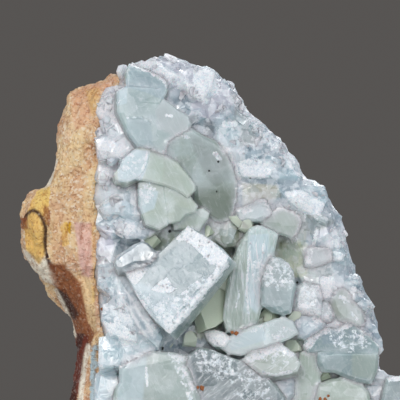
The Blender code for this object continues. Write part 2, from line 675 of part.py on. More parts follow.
def make_rooms(name, tablets, cutters):
    """The room that a crystal needs in its neighbours."""
    return [tablet(f"{name}_room_{number}", shape, cutters, GAP)
            for number, shape in enumerate(tablets)]


def cut(thing, others):
    """Cut room for the bodies that a body meets, and keep its largest part."""
    for other in others:
        if skin(thing).overlap(skin(other)):
            combine(thing, other, "DIFFERENCE")
    keep_largest(thing.data)


def skin(thing):
    """The surface of a body, to test others against."""
    return BVHTree.FromPolygons(
        [vertex.co for vertex in thing.data.vertices],
        [list(face.vertices) for face in thing.data.polygons])


def build():
    """Make every piece of the specimen."""
    clear_scene()
    pieces = collection("baryte_on_matrix")
    cutters = collection("cutters")
    draw = random.Random(SEED)

    low = Vector((-GROUND_HALF_WIDTH, -GROUND_HALF_WIDTH, -GROUND_DEPTH))
    high = Vector((GROUND_HALF_WIDTH, GROUND_HALF_WIDTH, 0))
    ground = box("ground", low, high, cutters)
    rooms = []
    for name, tablets in CRYSTALS.items():
        crystal = make_crystal(name, tablets, pieces, cutters)
        cut(crystal, rooms)
        thin_out(crystal, CRYSTAL_SHARE * len(crystal.data.polygons))
        rooms += make_rooms(name, tablets, cutters)

    vein = make_vein(pieces, cutters)
    vein_room = swollen(vein, ROUGH_GAP, cutters)
    grown = [tablet(f"grown_in_{number}", shape, cutters)
             for number, shape in enumerate(GROWN_IN)]
    chips, chip_rooms = make_chips(vein, draw, cutters)
    for thing in grown + chips:
        combine(vein, thing, "UNION")
        bpy.data.objects.remove(thing)
    cut(vein, rooms + [ground])
    thin_out(vein, CRUST_FACES)
    flatten_base(vein)

    matrix = make_matrix(pieces, cutters)
    grown_rooms = make_rooms("grown_in", GROWN_IN, cutters)
    cut(matrix, [vein_room] + rooms + grown_rooms + chip_rooms + [ground])
    thin_out(matrix, MATRIX_FACES)
    flatten_base(matrix)

    rock, frosted, clear = (material(name) for name in MATERIALS)
    for thing in pieces.objects:
        thing.data.materials.clear()
        finish = {"matrix": rock, "baryte_crust": frosted}.get(thing.name, clear)
        thing.data.materials.append(finish)
    for cutter in cutters.objects:
        cutter.hide_render = True
        cutter.display_type = "WIRE"


build()
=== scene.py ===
# %% [markdown]
# # Baryte on matrix, from plain solids to a finished look
#
# The specimen is a slab of orange-brown wall rock with a vein of milky baryte grown on it.
# The vein is broken open, and blue-green tabular crystals stand in its hollow. The solids of
# the model give the true sizes and places. This lesson dresses them: it makes each surface
# fine enough to carve, breaks and roughens it as the real mineral is, and gives it a finish.

# %% Load the solids
import math
import random

import bpy
import numpy as np
from mathutils import Matrix, Vector
from mathutils.bvhtree import BVHTree
from mathutils.kdtree import KDTree


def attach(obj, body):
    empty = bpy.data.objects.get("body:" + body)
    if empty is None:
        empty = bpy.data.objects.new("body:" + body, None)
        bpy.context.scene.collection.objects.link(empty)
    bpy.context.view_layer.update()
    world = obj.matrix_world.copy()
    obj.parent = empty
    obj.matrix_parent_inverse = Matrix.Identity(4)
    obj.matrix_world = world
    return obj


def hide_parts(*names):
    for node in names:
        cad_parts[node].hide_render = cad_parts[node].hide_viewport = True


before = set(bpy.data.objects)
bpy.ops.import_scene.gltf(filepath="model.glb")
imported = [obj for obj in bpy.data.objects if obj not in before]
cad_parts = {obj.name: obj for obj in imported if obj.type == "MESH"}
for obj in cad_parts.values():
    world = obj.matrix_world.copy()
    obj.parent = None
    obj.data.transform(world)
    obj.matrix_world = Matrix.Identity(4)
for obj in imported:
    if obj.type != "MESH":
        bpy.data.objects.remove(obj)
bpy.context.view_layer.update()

# %% [markdown]
# The front view is measured in pixels of the photograph, a quarter of a millimetre each.
# `place` turns a pixel into a point of the specimen, so that a mark can be put where it is seen.

# %% Pixels of the front view
PIXEL = 0.00025
MIDDLE_COLUMN = 216.5
LOWEST_ROW = 400
BELOW_PICTURE = 0.018
PICTURE_MIDDLE = (200, 200)
BEFORE_ALL = -0.1
INWARD = Vector((0, 1, 0))


def place(pixel, depth=0.0):
    """The point of the specimen at a pixel of the front view."""
    column, row = pixel
    height = (LOWEST_ROW - row) * PIXEL + BELOW_PICTURE
    return Vector(((column - MIDDLE_COLUMN) * PIXEL, depth, height))


def seen_on(surface, pixel):
    """The point of a surface that is seen at a pixel, and its normal."""
    return surface.ray_cast(place(pixel, BEFORE_ALL), INWARD)[:2]


print("the picture's middle is at", place(PICTURE_MIDDLE))

# %% [markdown]
# The camera stands level with the crystals, straight in front, as the photographer's did, with
# a long lens that flattens the depth. The floor is pale and ends behind the specimen. A large
# soft lamp at the upper left makes the shadows in the hollow, weaker ones fill them from the
# front and the right, and a small one gives the crystals their glints. Each lamp has a place, a
# width, a power and a colour.

# %% Camera, floor and light
CAMERA_DISTANCE = 1.5
PICTURE_WIDTH = 0.1
SENSOR = 36
FLOOR_RADIUS = 0.24
LAMPS_LOOK_AT = (230, 250)

LAMPS = {
    "key": ((-0.42, -0.88, 0.70), 0.55, 4.6, (1.0, 0.985, 0.96)),
    "front": ((0.00, -1.10, 0.60), 0.60, 1.2, (1.0, 0.99, 0.97)),
    "fill": ((0.55, -0.95, 0.25), 0.70, 2.4, (0.92, 0.96, 1.0)),
    "rim": ((0.25, 0.60, 0.60), 0.45, 2.0, (1.0, 1.0, 1.0)),
    "glint": ((-0.20, -1.10, 0.75), 0.08, 1.2, (1.0, 1.0, 1.0)),
}


def deselect():
    """Leave nothing selected."""
    bpy.ops.object.select_all(action="DESELECT")


def make_camera():
    """The camera, aimed at the middle of the picture."""
    aim = place(PICTURE_MIDDLE)
    bpy.ops.object.camera_add(location=aim + Vector((0, -CAMERA_DISTANCE, 0)))
    camera = bpy.context.active_object
    camera.rotation_euler = (math.pi / 2, 0, 0)
    camera.data.sensor_width = SENSOR
    camera.data.lens = SENSOR * CAMERA_DISTANCE / PICTURE_WIDTH
    camera.data.clip_start = 0.01
    bpy.context.scene.camera = camera
    return camera


def make_lamp(name, spot, size, power, colour):
    """A square soft lamp that looks at the specimen's middle."""
    bpy.ops.object.light_add(type="AREA", location=spot)
    lamp = bpy.context.active_object
    lamp.name = name
    lamp.data.size = size
    lamp.data.energy = power
    lamp.data.color = colour
    aim = place(LAMPS_LOOK_AT) - Vector(spot)
    lamp.rotation_euler = aim.to_track_quat("-Z", "Y").to_euler()
    return lamp


deselect()
camera = make_camera()
for name, facts in LAMPS.items():
    make_lamp(name, *facts)

deselect()
bpy.ops.mesh.primitive_circle_add(vertices=96, radius=FLOOR_RADIUS, fill_type="NGON")
floor = bpy.context.active_object
floor.name = "floor"
print("lens:", camera.data.lens, "lamps:", len(LAMPS))

# %% [markdown]
# The photograph's background is a plain dark grey. The world shows that grey to the camera
# alone, and lights the specimen with a paler one, as a room around it would.

# %% Background
BACKGROUND = (0.096, 0.090, 0.086, 1)
ROOM_LIGHT = (0.80, 0.88, 1.0, 1)
ROOM_STRENGTH = 0.40


def make_world():
    """A dark background for the camera, and soft light for the rest."""
    world = bpy.data.worlds.new("room")
    world.use_nodes = True
    nodes = world.node_tree.nodes
    links = world.node_tree.links
    nodes.clear()
    seen = nodes.new("ShaderNodeBackground")
    seen.inputs["Color"].default_value = BACKGROUND
    light = nodes.new("ShaderNodeBackground")
    light.inputs["Color"].default_value = ROOM_LIGHT
    light.inputs["Strength"].default_value = ROOM_STRENGTH
    path = nodes.new("ShaderNodeLightPath")
    mix = nodes.new("ShaderNodeMixShader")
    output = nodes.new("ShaderNodeOutputWorld")
    links.new(path.outputs["Is Camera Ray"], mix.inputs["Fac"])
    links.new(light.outputs["Background"], mix.inputs[1])
    links.new(seen.outputs["Background"], mix.inputs[2])
    links.new(mix.outputs["Shader"], output.inputs["Surface"])
    bpy.context.scene.world = world


make_world()
bpy.context.scene.view_settings.view_transform = "Standard"
print("world:", bpy.context.scene.world.name)

# %% [markdown]
# A solid of the model has large flat triangles, which can't take a fine relief. It could be
# subdivided, but long triangles stay long. A sharp remesh gives small even squares instead and
# keeps the keen edges, which a voxel remesh would round. Its grid is a power of two of cells, so
# the scale brings the cells to the width that is wanted.

# %% Fine copies of the solids
SEAM = 0.00001
FULL_GRID = 0.99
STILL = ("matrix", "baryte_crust")


def only(piece):
    """Select one object and make it the active one."""
    deselect()
    piece.select_set(True)
    bpy.context.view_layer.objects.active = piece


def finish_with(piece, kind, **settings):
    """Put one modifier on a piece and apply it."""
    step = piece.modifiers.new(kind.lower(), kind)
    for name, value in settings.items():
        setattr(step, name, value)
    only(piece)
    bpy.ops.object.modifier_apply(modifier=step.name)


def fine_copy(node, name, cell):
    """A copy of a solid in even small squares, with its edges kept."""
    piece = bpy.data.objects.new(name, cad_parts[node].data.copy())
    bpy.context.scene.collection.objects.link(piece)
    only(piece)
    bpy.ops.object.mode_set(mode="EDIT")
    bpy.ops.mesh.select_all(action="SELECT")
    bpy.ops.mesh.remove_doubles(threshold=SEAM)
    bpy.ops.object.mode_set(mode="OBJECT")
    longest = max(piece.dimensions)
    depth = math.ceil(math.log2(longest / (FULL_GRID * cell)))
    finish_with(piece, "REMESH", mode="SHARP", octree_depth=depth,
                scale=longest / (cell * 2 ** depth), use_remove_disconnected=False)
    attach(piece, "root")
    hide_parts(node)
    return piece


print("to be copied:", list(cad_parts))

# %% [markdown]
# Relief is made as a sculptor would with a textured brush: a Displace modifier pushes the skin
# in and out by a noise. An empty, which is removed afterwards, turns and stretches the noise, so
# that one noise can be grains, long striations or the square steps of broken cleavage. The finish
# could do this with a bump alone, but a bump doesn't change the outline, and this stone is rough.

# %% Relief
LEAST_WEIGHT = 0.02
STEPS = {"distance_metric": "CHEBYCHEV", "color_mode": "POSITION"}


def relief(piece, kind, size, depth, group="", turn=(0, 0, 0), stretch=(1, 1, 1), middle=0.5,
           **settings):
    """Push a piece's skin in and out by a noise of some size and depth, in metres."""
    texture = bpy.data.textures.new("relief", kind)
    texture.noise_scale = size
    for name, value in settings.items():
        setattr(texture, name, value)
    bpy.ops.object.empty_add(rotation=[math.radians(angle) for angle in turn])
    guide = bpy.context.active_object
    guide.scale = stretch
    bpy.context.view_layer.update()
    finish_with(piece, "DISPLACE", texture=texture, texture_coords="OBJECT",
                texture_coords_object=guide, strength=depth, mid_level=middle,
                vertex_group=group)
    bpy.data.objects.remove(guide)
    bpy.data.textures.remove(texture)


def points_of(piece):
    """A piece's vertices as an array."""
    points = np.zeros(len(piece.data.vertices) * 3, np.float32)
    piece.data.vertices.foreach_get("co", points)
    return points.reshape(-1, 3).astype(float)


def move_to(piece, points):
    """Put a piece's vertices where an array says."""
    piece.data.vertices.foreach_set("co", points.astype(np.float32).ravel())
    piece.data.update()


def group_from(piece, name, values):
    """A vertex group with the given weights, for modifiers."""
    group = piece.vertex_groups.new(name=name)
    for number in np.nonzero(values > LEAST_WEIGHT)[0]:
        group.add([int(number)], float(values[number]), "REPLACE")
    return group.name


print("square steps:", STEPS)

# %% [markdown]
# The stone has few colours: cold whites and blues of the vein, greens and olives of the hollow,
# which are partly its painted shade, and the warm colours of iron in the rock. They are named
# once, so that every stroke and finish uses the same ones. A screen's number isn't proportional
# to light, so `shade` converts it.

# %% Palette
def shade(red, green, blue):
    """A colour of the screen, 0 to 255, as the shaders want it."""
    parts = [value / 255 for value in (red, green, blue)]
    return tuple(part / 12.92 if part < 0.04045 else ((part + 0.055) / 1.055) ** 2.4
                 for part in parts)


PALETTE = {
    "white": shade(244, 246, 248),
    "lilac": shade(218, 217, 230),
    "lilac_grey": shade(196, 196, 206),
    "pale_blue": shade(204, 219, 226),
    "ice": shade(190, 208, 214),
    "blue": shade(172, 192, 200),
    "steel": shade(150, 166, 176),
    "dusk": shade(152, 172, 181),
    "pearl": shade(182, 189, 190),
    "pale_green": shade(214, 222, 200),
    "sage": shade(166, 178, 168),
    "slate": shade(112, 122, 130),
    "smoke": shade(160, 167, 166),
    "fog": shade(128, 139, 126),
    "sea": shade(182, 198, 188),
    "moss": shade(158, 168, 148),
    "olive": shade(148, 153, 126),
    "dark_olive": shade(104, 108, 72),
    "sand": shade(190, 188, 172),
    "salmon": shade(222, 162, 128),
    "tan": shade(238, 207, 159),
    "cream": shade(244, 234, 214),
    "ochre": shade(238, 194, 112),
    "honey": shade(240, 204, 118),
    "olive_yellow": shade(206, 156, 22),
    "rust": shade(160, 98, 56),
    "brown": shade(142, 84, 46),
    "dark_brown": shade(62, 28, 16),
    "red_brown": shade(112, 46, 26),
    "rose": shade(228, 184, 174),
    "black": shade(26, 26, 24),
}
print("colours:", len(PALETTE))

# %% [markdown]
# Colours and broken zones are painted on, stroke by stroke; some of the colour strokes are painted
# light and shade rather than the stone's own colour. A stroke is a patch or a line of the front
# view with a soft edge, and it reaches only so far into the depth. The strokes become attributes
# of the mesh, which the finishes read and break up at their edges. A texture wrapped on the piece
# would do too, but strokes at named places can be read and moved one by one. Depths count from the
# front, which is negative, to the back.

# %% Strokes
NEAR = -0.03
FAR = 0.004
FADE = 0.003
TINY = 0.00001


def patch(colour, outline, soft=4, strength=1.0, near=NEAR, far=FAR):
    """A filled stroke: whole inside its outline, in pixels, and fading over a soft edge."""
    return colour, list(outline) + [outline[0]], True, 0, soft, strength, near, far


def line(colour, points, reach=1.0, soft=1.5, strength=1.0, near=NEAR, far=FAR):
    """A stroke along a line of pixels, with a half width."""
    return colour, list(points), False, reach, soft, strength, near, far


def inside(spots, outline):
    """Which spots lie inside a closed outline."""
    within = np.zeros(len(spots), bool)
    for (x0, y0), (x1, y1) in zip(outline, outline[1:]):
        if y0 == y1:
            continue
        crosses = (y0 > spots[:, 1]) != (y1 > spots[:, 1])
        where = x0 + (spots[:, 1] - y0) * (x1 - x0) / (y1 - y0)
        within ^= crosses & (spots[:, 0] < where)
    return within


def distance_to(spots, points):
    """How far spots lie from a line of points."""
    least = np.full(len(spots), np.inf)
    for start, end in zip(points, points[1:]):
        start, end = np.array(start, float), np.array(end, float)
        leg = end - start
        share = np.clip((spots - start) @ leg / max(leg @ leg, TINY), 0, 1)
        least = np.minimum(least, np.linalg.norm(spots - start - share[:, None] * leg, axis=1))
    return least


def cover_of(points, stroke, fade=FADE):
    """How strongly a stroke covers each point, 0 to 1, fading along the depth."""
    outline, filled, reach, soft, strength, near, far = stroke[1:]
    columns = points[:, 0] / PIXEL + MIDDLE_COLUMN
    rows = LOWEST_ROW - (points[:, 2] - BELOW_PICTURE) / PIXEL
    spots = np.stack([columns, rows], axis=1)
    gap = distance_to(spots, outline) - reach
    if filled:
        gap[inside(spots, outline)] = 0
    cover = np.clip(1 - gap / soft, 0, 1)
    cover *= np.clip((far + fade - points[:, 1]) / fade, 0, 1)
    cover *= np.clip((points[:, 1] - near + fade) / fade, 0, 1)
    return cover * cover * (3 - 2 * cover) * strength


def attribute(piece, name, values):
    """Keep numbers or colours on a piece's vertices."""
    kind, field = ("FLOAT", "value") if values.ndim == 1 else ("FLOAT_COLOR", "color")
    made = piece.data.attributes.get(name) or piece.data.attributes.new(name, kind, "POINT")
    made.data.foreach_set(field, values.astype(np.float32).ravel())


# The stroke colours are real stains and tints, and on the vein and crystals also painted light and
# shade.
def stain_light_and_shade(piece, strokes, under=None, fade=FADE):
    """Paint coloured strokes over each other, as a colour and how much it covers."""
    points = points_of(piece)
    colour = np.zeros((len(points), 4)) if under is None else under
    for stroke in strokes:
        cover = cover_of(points, stroke, fade)
        total = cover + colour[:, 3] * (1 - cover)
        share = (cover / np.maximum(total, TINY))[:, None]
        colour[:, :3] += (np.array(PALETTE[stroke[0]]) - colour[:, :3]) * share
        colour[:, 3] = total
    attribute(piece, "stain_light_and_shade", colour)


def mask(piece, name, strokes):
    """Paint a mask from strokes, the strongest one counting."""
    points = points_of(piece)
    value = np.zeros(len(points))
    for stroke in strokes:
        value = np.maximum(value, cover_of(points, stroke))
    attribute(piece, name, value)
    return value


print("a stroke reaches from", NEAR, "to", FAR, "in depth")

# %% [markdown]
# Edges of baryte are worn white, and near an edge the crystal is thin and light through it makes
# it look paler; that paleness is painted light. An edge is found where the faces round a vertex
# disagree about its direction. How much painted light a place gets depends on how far the
# nearest keen edge is.

# %% Edges
EDGE_GAIN = 8
KEEN = 0.7
THIN_REACH = 0.0020


def mark_edges(piece):
    """Mark the keen edges, and the thin places beside them."""
    mesh = piece.data
    normals = np.zeros(len(mesh.polygons) * 3, np.float32)
    mesh.polygons.foreach_get("normal", normals)
    normals = normals.reshape(-1, 3)
    corners = np.zeros(len(mesh.loops), np.int32)
    mesh.loops.foreach_get("vertex_index", corners)
    sizes = np.zeros(len(mesh.polygons), np.int32)
    mesh.polygons.foreach_get("loop_total", sizes)
    total = np.zeros((len(mesh.vertices), 3))
    np.add.at(total, corners, normals[np.repeat(np.arange(len(sizes)), sizes)])
    count = np.bincount(corners, minlength=len(mesh.vertices))
    agree = np.linalg.norm(total, axis=1) / np.maximum(count, 1)
    edge = np.clip((1 - agree) * EDGE_GAIN, 0, 1)
    attribute(piece, "edge", edge)
    keen = np.nonzero(edge > KEEN)[0]
    tree = KDTree(len(keen))
    for number in keen:
        tree.insert(mesh.vertices[int(number)].co, int(number))
    tree.balance()
    gaps = np.array([tree.find(vertex.co)[2] or 0 for vertex in mesh.vertices])
    attribute(piece, "thin", np.clip(1 - gaps / THIN_REACH, 0, 1) ** 2)


print("pale up to", THIN_REACH, "from an edge")

# %% [markdown]
# The crystals have grown into each other and into the vein. The solids keep a small gap where
# they meet, so the skin of one is drawn onto the other wherever it comes near, and the line of
# contact is remembered, because it is painted pale there: partly as the white crumbs that lie in
# it, partly as painted light that fills the shade of the crease. A Boolean union would join them
# too, but then each crystal couldn't keep its own finish.

# %% Grown together
VEIN_REACH = 0.0014
CRYSTAL_REACH = 0.0007
PULL = 1.75
LIT_CONTACT_WIDTH = 0.0009
SWELLING = 0.00035


def skin(*pieces):
    """The surface of some pieces together, to find spots on."""
    corners, faces = [], []
    for piece in pieces:
        start = len(corners)
        corners += [vertex.co.copy() for vertex in piece.data.vertices]
        faces += [[start + corner for corner in face.vertices] for face in piece.data.polygons]
    return BVHTree.FromPolygons(corners, faces)


def close_round(piece, surfaces, reach):
    """Draw a piece's skin onto the surfaces that it nearly meets, and swell it a little there."""
    points = points_of(piece)
    contact = np.zeros(len(points))
    for number, vertex in enumerate(piece.data.vertices):
        spot, gap = None, reach
        for surface in surfaces:
            found = surface.find_nearest(vertex.co, gap)
            if found[0] is not None:
                spot, gap = found[0], found[3]
        if spot is not None:
            share = min(1, PULL * (1 - gap / reach))
            points[number] += share * np.array(spot - vertex.co + vertex.normal * SWELLING)
            # How strongly the crease here is painted light.
            contact[number] = max(0, 1 - gap / LIT_CONTACT_WIDTH)
    move_to(piece, points)
    attribute(piece, "contact", contact)


def neighbours(piece, other):
    """Whether the boxes of two pieces meet or nearly do."""
    low, high = points_of(piece).min(axis=0), points_of(piece).max(axis=0)
    other_low, other_high = points_of(other).min(axis=0), points_of(other).max(axis=0)
    return bool((low - VEIN_REACH < other_high).all() and (other_low - VEIN_REACH < high).all())


print("skins meet within", VEIN_REACH, "at the vein and", CRYSTAL_REACH, "at a crystal")

# %% [markdown]
# Some patches and edges of the crystals are frosted, because thin layers broke off there. These
# places are lines and patches of the front view, crystal by crystal.

# %% Frosted places of the crystals
FROSTED = "white"
FROST = {
    "great_tablet": [
        # The white band at the great tablet's upper right is partly frost and partly a painted
        # reflection of its glossy flat face.
        patch(FROSTED, [(188, 228), (202, 236), (214, 245), (226, 256), (224, 264), (212, 262),
                        (204, 254), (196, 245), (184, 238)], 4, 0.96),
        patch(FROSTED, [(176, 235), (188, 228), (190, 236), (180, 240)], 4, 0.6),
        line(FROSTED, [(224, 264), (210, 281), (196, 298), (183, 313), (170, 327)], 2.4, 5, 0.72),
        patch(FROSTED, [(127, 270), (143, 267), (147, 269), (141, 278), (136, 283), (129, 276)],
              2),
        patch(FROSTED, [(153, 288), (160, 281), (167, 277), (171, 282), (168, 285), (177, 287),
                        (170, 291), (161, 291)], 1.5),
        patch(FROSTED, [(160, 300), (172, 298), (186, 292), (196, 282), (204, 276), (200, 290),
                        (184, 308), (170, 326), (160, 312)], 5, 0.52),
        patch(FROSTED, [(134, 290), (150, 294), (164, 310), (160, 322), (146, 306)], 5, 0.45)],
    "broad_lower_tablet": [
        line(FROSTED, [(147, 366), (148, 384)], 0.6, 1.4, 0.8),
        patch(FROSTED, [(170, 352), (188, 355), (184, 364), (196, 388), (190, 398), (180, 372)],
              4, 0.5)],
    "frosted_block": [
        patch(FROSTED, [(196, 350), (215, 350), (232, 360), (240, 372), (222, 376), (200, 366)],
              7, 0.42),
        patch(FROSTED, [(228, 364), (250, 364), (268, 380), (270, 400), (238, 398)], 7, 0.34)],
    "wedge_crystal": [
        line(FROSTED, [(248, 358), (262, 353), (277, 344), (290, 352)], 2, 4, 0.7),
        line(FROSTED, [(262, 371), (275, 373), (290, 370)], 1, 2, 0.7),
        patch(FROSTED, [(262, 356), (284, 350), (296, 360), (280, 366)], 4, 0.38)],
    "slanting_bar": [
        patch(FROSTED, [(204, 330), (216, 329), (230, 336), (222, 345), (210, 340)], 2, 0.9),
        patch(FROSTED, [(250, 328), (272, 322), (290, 330), (276, 338)], 6, 0.4)],
    "middle_fan_tablets": [
        patch(FROSTED, [(119, 166), (124, 156), (134, 150), (140, 160), (130, 178)], 8, 0.34),
        patch(FROSTED, [(140, 183), (154, 186), (150, 200), (140, 206)], 6, 0.42),
        line(FROSTED, [(148, 152), (146, 164), (140, 178)], 0.5, 2, 0.6)],
    "upper_blade_stack": [
        line(FROSTED, [(133, 66), (150, 73), (162, 80), (168, 88)], 0.6, 2, 0.7),
        line(FROSTED, [(118, 92), (126, 86)], 0.5, 1.5, 0.6),
        line(FROSTED, [(118, 104), (126, 98)], 0.5, 1.5, 0.5),
        line(FROSTED, [(128, 119), (142, 118), (151, 124)], 0.4, 1.6, 0.5),
        line(FROSTED, [(179, 135), (169, 142), (165, 154)], 1.0, 2.5, 0.7),
        line(FROSTED, [(167, 116), (172, 117)], 0.8, 1.6, 0.8)],
    "grey_green_blade": [
        line(FROSTED, [(166, 144), (165, 155), (176, 163)], 0.6, 2, 0.5),
        line(FROSTED, [(215, 154), (220, 160)], 1.5, 2, 0.7),
        line(FROSTED, [(180, 136), (188, 138)], 1.0, 2.4, 0.6)],
    "round_tablet": [
        patch(FROSTED, [(263, 264), (272, 257), (284, 260), (292, 270), (293, 286), (278, 288),
                        (262, 280)], 6, 0.42)],
    "white_knobs": [
        patch(FROSTED, [(293, 284), (303, 281), (318, 286), (334, 312), (329, 320), (300, 312),
                        (293, 310)], 6, 0.55)],
    "grey_oval_tablet": [
        line(FROSTED, [(340, 296), (346, 302)], 1.5, 3, 0.6),
        line(FROSTED, [(350, 312), (356, 318)], 0.8, 2, 0.6)],
    "blue_block": [
        line(FROSTED, [(326, 322), (337, 328), (350, 323)], 1.4, 3, 0.9),
        line(FROSTED, [(306, 346), (316, 333), (326, 328)], 2, 4, 0.7),
        patch(FROSTED, [(330, 330), (352, 330), (368, 342), (350, 350), (332, 344)], 5, 0.38)],
    "striated_prism": [
        line(FROSTED, [(250, 242), (248, 262), (246, 292), (248, 312)], 0.6, 1.6, 0.75),
        line(FROSTED, [(263, 244), (262, 252)], 0.7, 1.2, 0.9),
        line(FROSTED, [(239, 290), (236, 306)], 0.5, 1.5, 0.6),
        patch(FROSTED, [(252, 262), (262, 258), (262, 276), (254, 280)], 4, 0.5)],
    "small_bar_tablet": [line(FROSTED, [(244, 212), (250, 209)], 1.5, 3, 0.6)],
    "hanging_tablet": [line(FROSTED, [(270, 232), (284, 237), (292, 237)], 0.5, 2, 0.5)],
    "box_crystal": [patch(FROSTED, [(305, 250), (311, 248), (311, 264), (305, 265)], 2, 0.5)],
    "corner_blade": [line(FROSTED, [(388, 378), (404, 377), (412, 385)], 1.2, 3, 0.8)],
}
print("frosted crystals:", len(FROST))

# %% [markdown]
# Each crystal is a tabular one that stands free in the hollow. Its faces aren't perfect: the
# mineral cleaves in low steps. Where it is frosted the relief is deeper and made of small square
# steps, and elsewhere the face stays nearly flat.

# %% Crystals
CRYSTAL_CELL = 0.0003
CONTACT = 0.00025
crystals = {}
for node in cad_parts:
    if node in STILL:
        continue
    piece = fine_copy(node, node + "_crystal", CRYSTAL_CELL)
    finish_with(piece, "DISPLACE", strength=CONTACT, mid_level=0)
    frost = mask(piece, "frost", FROST.get(node, []))
    broken = group_from(piece, "broken", frost)
    relief(piece, "VORONOI", 0.0016, 0.00022, group=broken, turn=(15, 40, 0), **STEPS)
    relief(piece, "CLOUDS", 0.0050, 0.00020)
    relief(piece, "VORONOI", 0.0060, 0.00008, turn=(0, 38, 0), **STEPS)
    crystals[node] = piece
print("crystal faces:", sum(len(piece.data.polygons) for piece in crystals.values()))

# %% [markdown]
# The striated prism carries fine ridges along its length, which grew with it, and the great
# tablet has fine grooves along its long edges. A stretched noise makes the ridges. The grooves
# are pressed in along painted lines, on the faces that look to the front.

# %% Striations and grooves
GROOVE_DEPTH = 0.0004
FRONT = -0.5
GROOVES = {
    "great_tablet": [
        line(FROSTED, [(204, 282), (190, 299), (176, 316)], 0.2, 1.4),
        line(FROSTED, [(201, 296), (192, 307), (182, 318)], 0.2, 1.2),
        line(FROSTED, [(158, 318), (148, 306), (138, 292)], 0.2, 1.6)],
    "leaf_tablet": [
        line(FROSTED, [(126, 267), (136, 263), (150, 262)], 0.6, 2.0),
        line(FROSTED, [(118, 257), (126, 250), (135, 244)], 0.4, 1.6)],
    "upper_blade_stack": [
        line(FROSTED, [(128, 119), (142, 118), (151, 124)], 0.2, 1.6, 0.3)],
}
relief(crystals["striated_prism"], "CLOUDS", 0.0007, 0.0006, turn=(0, 7, 0), stretch=(1, 1, 16))
for node, strokes in GROOVES.items():
    piece = crystals[node]
    points = points_of(piece)
    pressed = np.max([cover_of(points, stroke) for stroke in strokes], axis=0)
    facing = np.array([vertex.normal.y for vertex in piece.data.vertices]) < FRONT
    points[:, 1] += pressed * facing * GROOVE_DEPTH
    move_to(piece, points)
print("pressed in:", sum(map(len, GROOVES.values())), "lines")

# %% [markdown]
# The vein is painted in three ways. Its sugary places get the deep relief of broken cleavage, its
# frosted places are chipped white, and its hues give every broken face a colour of its own, from
# lilac and steel at the rim to olive in the depth of the hollow. Among the hues are painted light
# and shade: the olive, moss and smoke patches in the hollow and under overhangs are partly painted
# shade, and the pale green patches on the hollow's floor are painted light.

# %% Painted places of the vein
SUGAR = [
    line("white", [(118, 82), (133, 68), (154, 62), (180, 66), (214, 76), (236, 98), (262, 134),
                   (296, 178), (326, 196), (332, 214)], 9, 9),
    patch("white", [(170, 86), (206, 84), (240, 110), (238, 126), (212, 122), (190, 116)], 6, 0.8),
    patch("white", [(240, 146), (286, 160), (304, 190), (290, 208), (262, 182), (240, 176)], 6,
          0.6),
    patch("white", [(286, 194), (308, 190), (326, 200), (322, 212), (300, 212)], 4),
    line("white", [(340, 236), (352, 266), (366, 300), (378, 340)], 6, 8, 0.8),
    patch("white", [(95, 184), (112, 186), (128, 190), (120, 214), (96, 216)], 6, 0.7),
    patch("white", [(95, 266), (118, 280), (126, 300), (110, 302), (95, 300)], 6, 0.7),
    patch("white", [(318, 276), (334, 276), (334, 292), (322, 298)], 4, 0.9),
]
VEIN_FROST = [
    line("white", [(118, 88), (133, 66), (150, 64), (160, 70)], 3, 5, 0.8),
    patch("white", [(98, 100), (110, 92), (118, 96), (116, 122), (106, 124), (98, 114)], 4, 0.9),
    patch("white", [(100, 146), (118, 140), (124, 154), (104, 160)], 6, 0.7),
    line("white", [(106, 162), (107, 184)], 2, 4, 0.8),
    patch("white", [(118, 176), (142, 172), (146, 188), (128, 190)], 4, 0.85),
    patch("white", [(136, 194), (156, 194), (156, 206), (140, 208)], 4, 0.9),
    patch("white", [(118, 222), (134, 224), (132, 234), (120, 232)], 4, 0.8),
    line("white", [(168, 76), (186, 88), (204, 100)], 3, 5, 0.7),
    patch("white", [(196, 72), (214, 74), (216, 92), (204, 100), (196, 90)], 6, 0.7),
    line("white", [(214, 146), (226, 150), (232, 164), (238, 178)], 1.5, 3, 0.9),
    line("white", [(224, 125), (234, 125)], 1.5, 3, 0.9),
    patch("white", [(240, 164), (256, 160), (274, 166), (266, 176), (246, 176)], 5, 0.7),
    patch("white", [(286, 194), (300, 192), (322, 204), (318, 213), (302, 211)], 4, 0.95),
    line("white", [(236, 98), (262, 132), (284, 152), (300, 172)], 3, 6, 0.55),
    patch("white", [(120, 300), (132, 316), (130, 330), (116, 322)], 5, 0.7),
    patch("white", [(118, 330), (128, 334), (136, 342), (124, 344)], 3, 0.9),
    patch("white", [(104, 322), (120, 324), (122, 332), (106, 332)], 4, 0.8),
    patch("white", [(320, 278), (332, 278), (334, 290), (324, 296)], 4, 0.9),
    line("white", [(316, 318), (330, 318), (340, 324)], 2, 4, 0.8),
    line("white", [(312, 247), (316, 230)], 0.8, 1.6, 0.9),
    patch("white", [(332, 240), (342, 238), (344, 246), (334, 246)], 3, 0.7),
    line("white", [(352, 288), (360, 294)], 1.2, 3, 0.8),
]
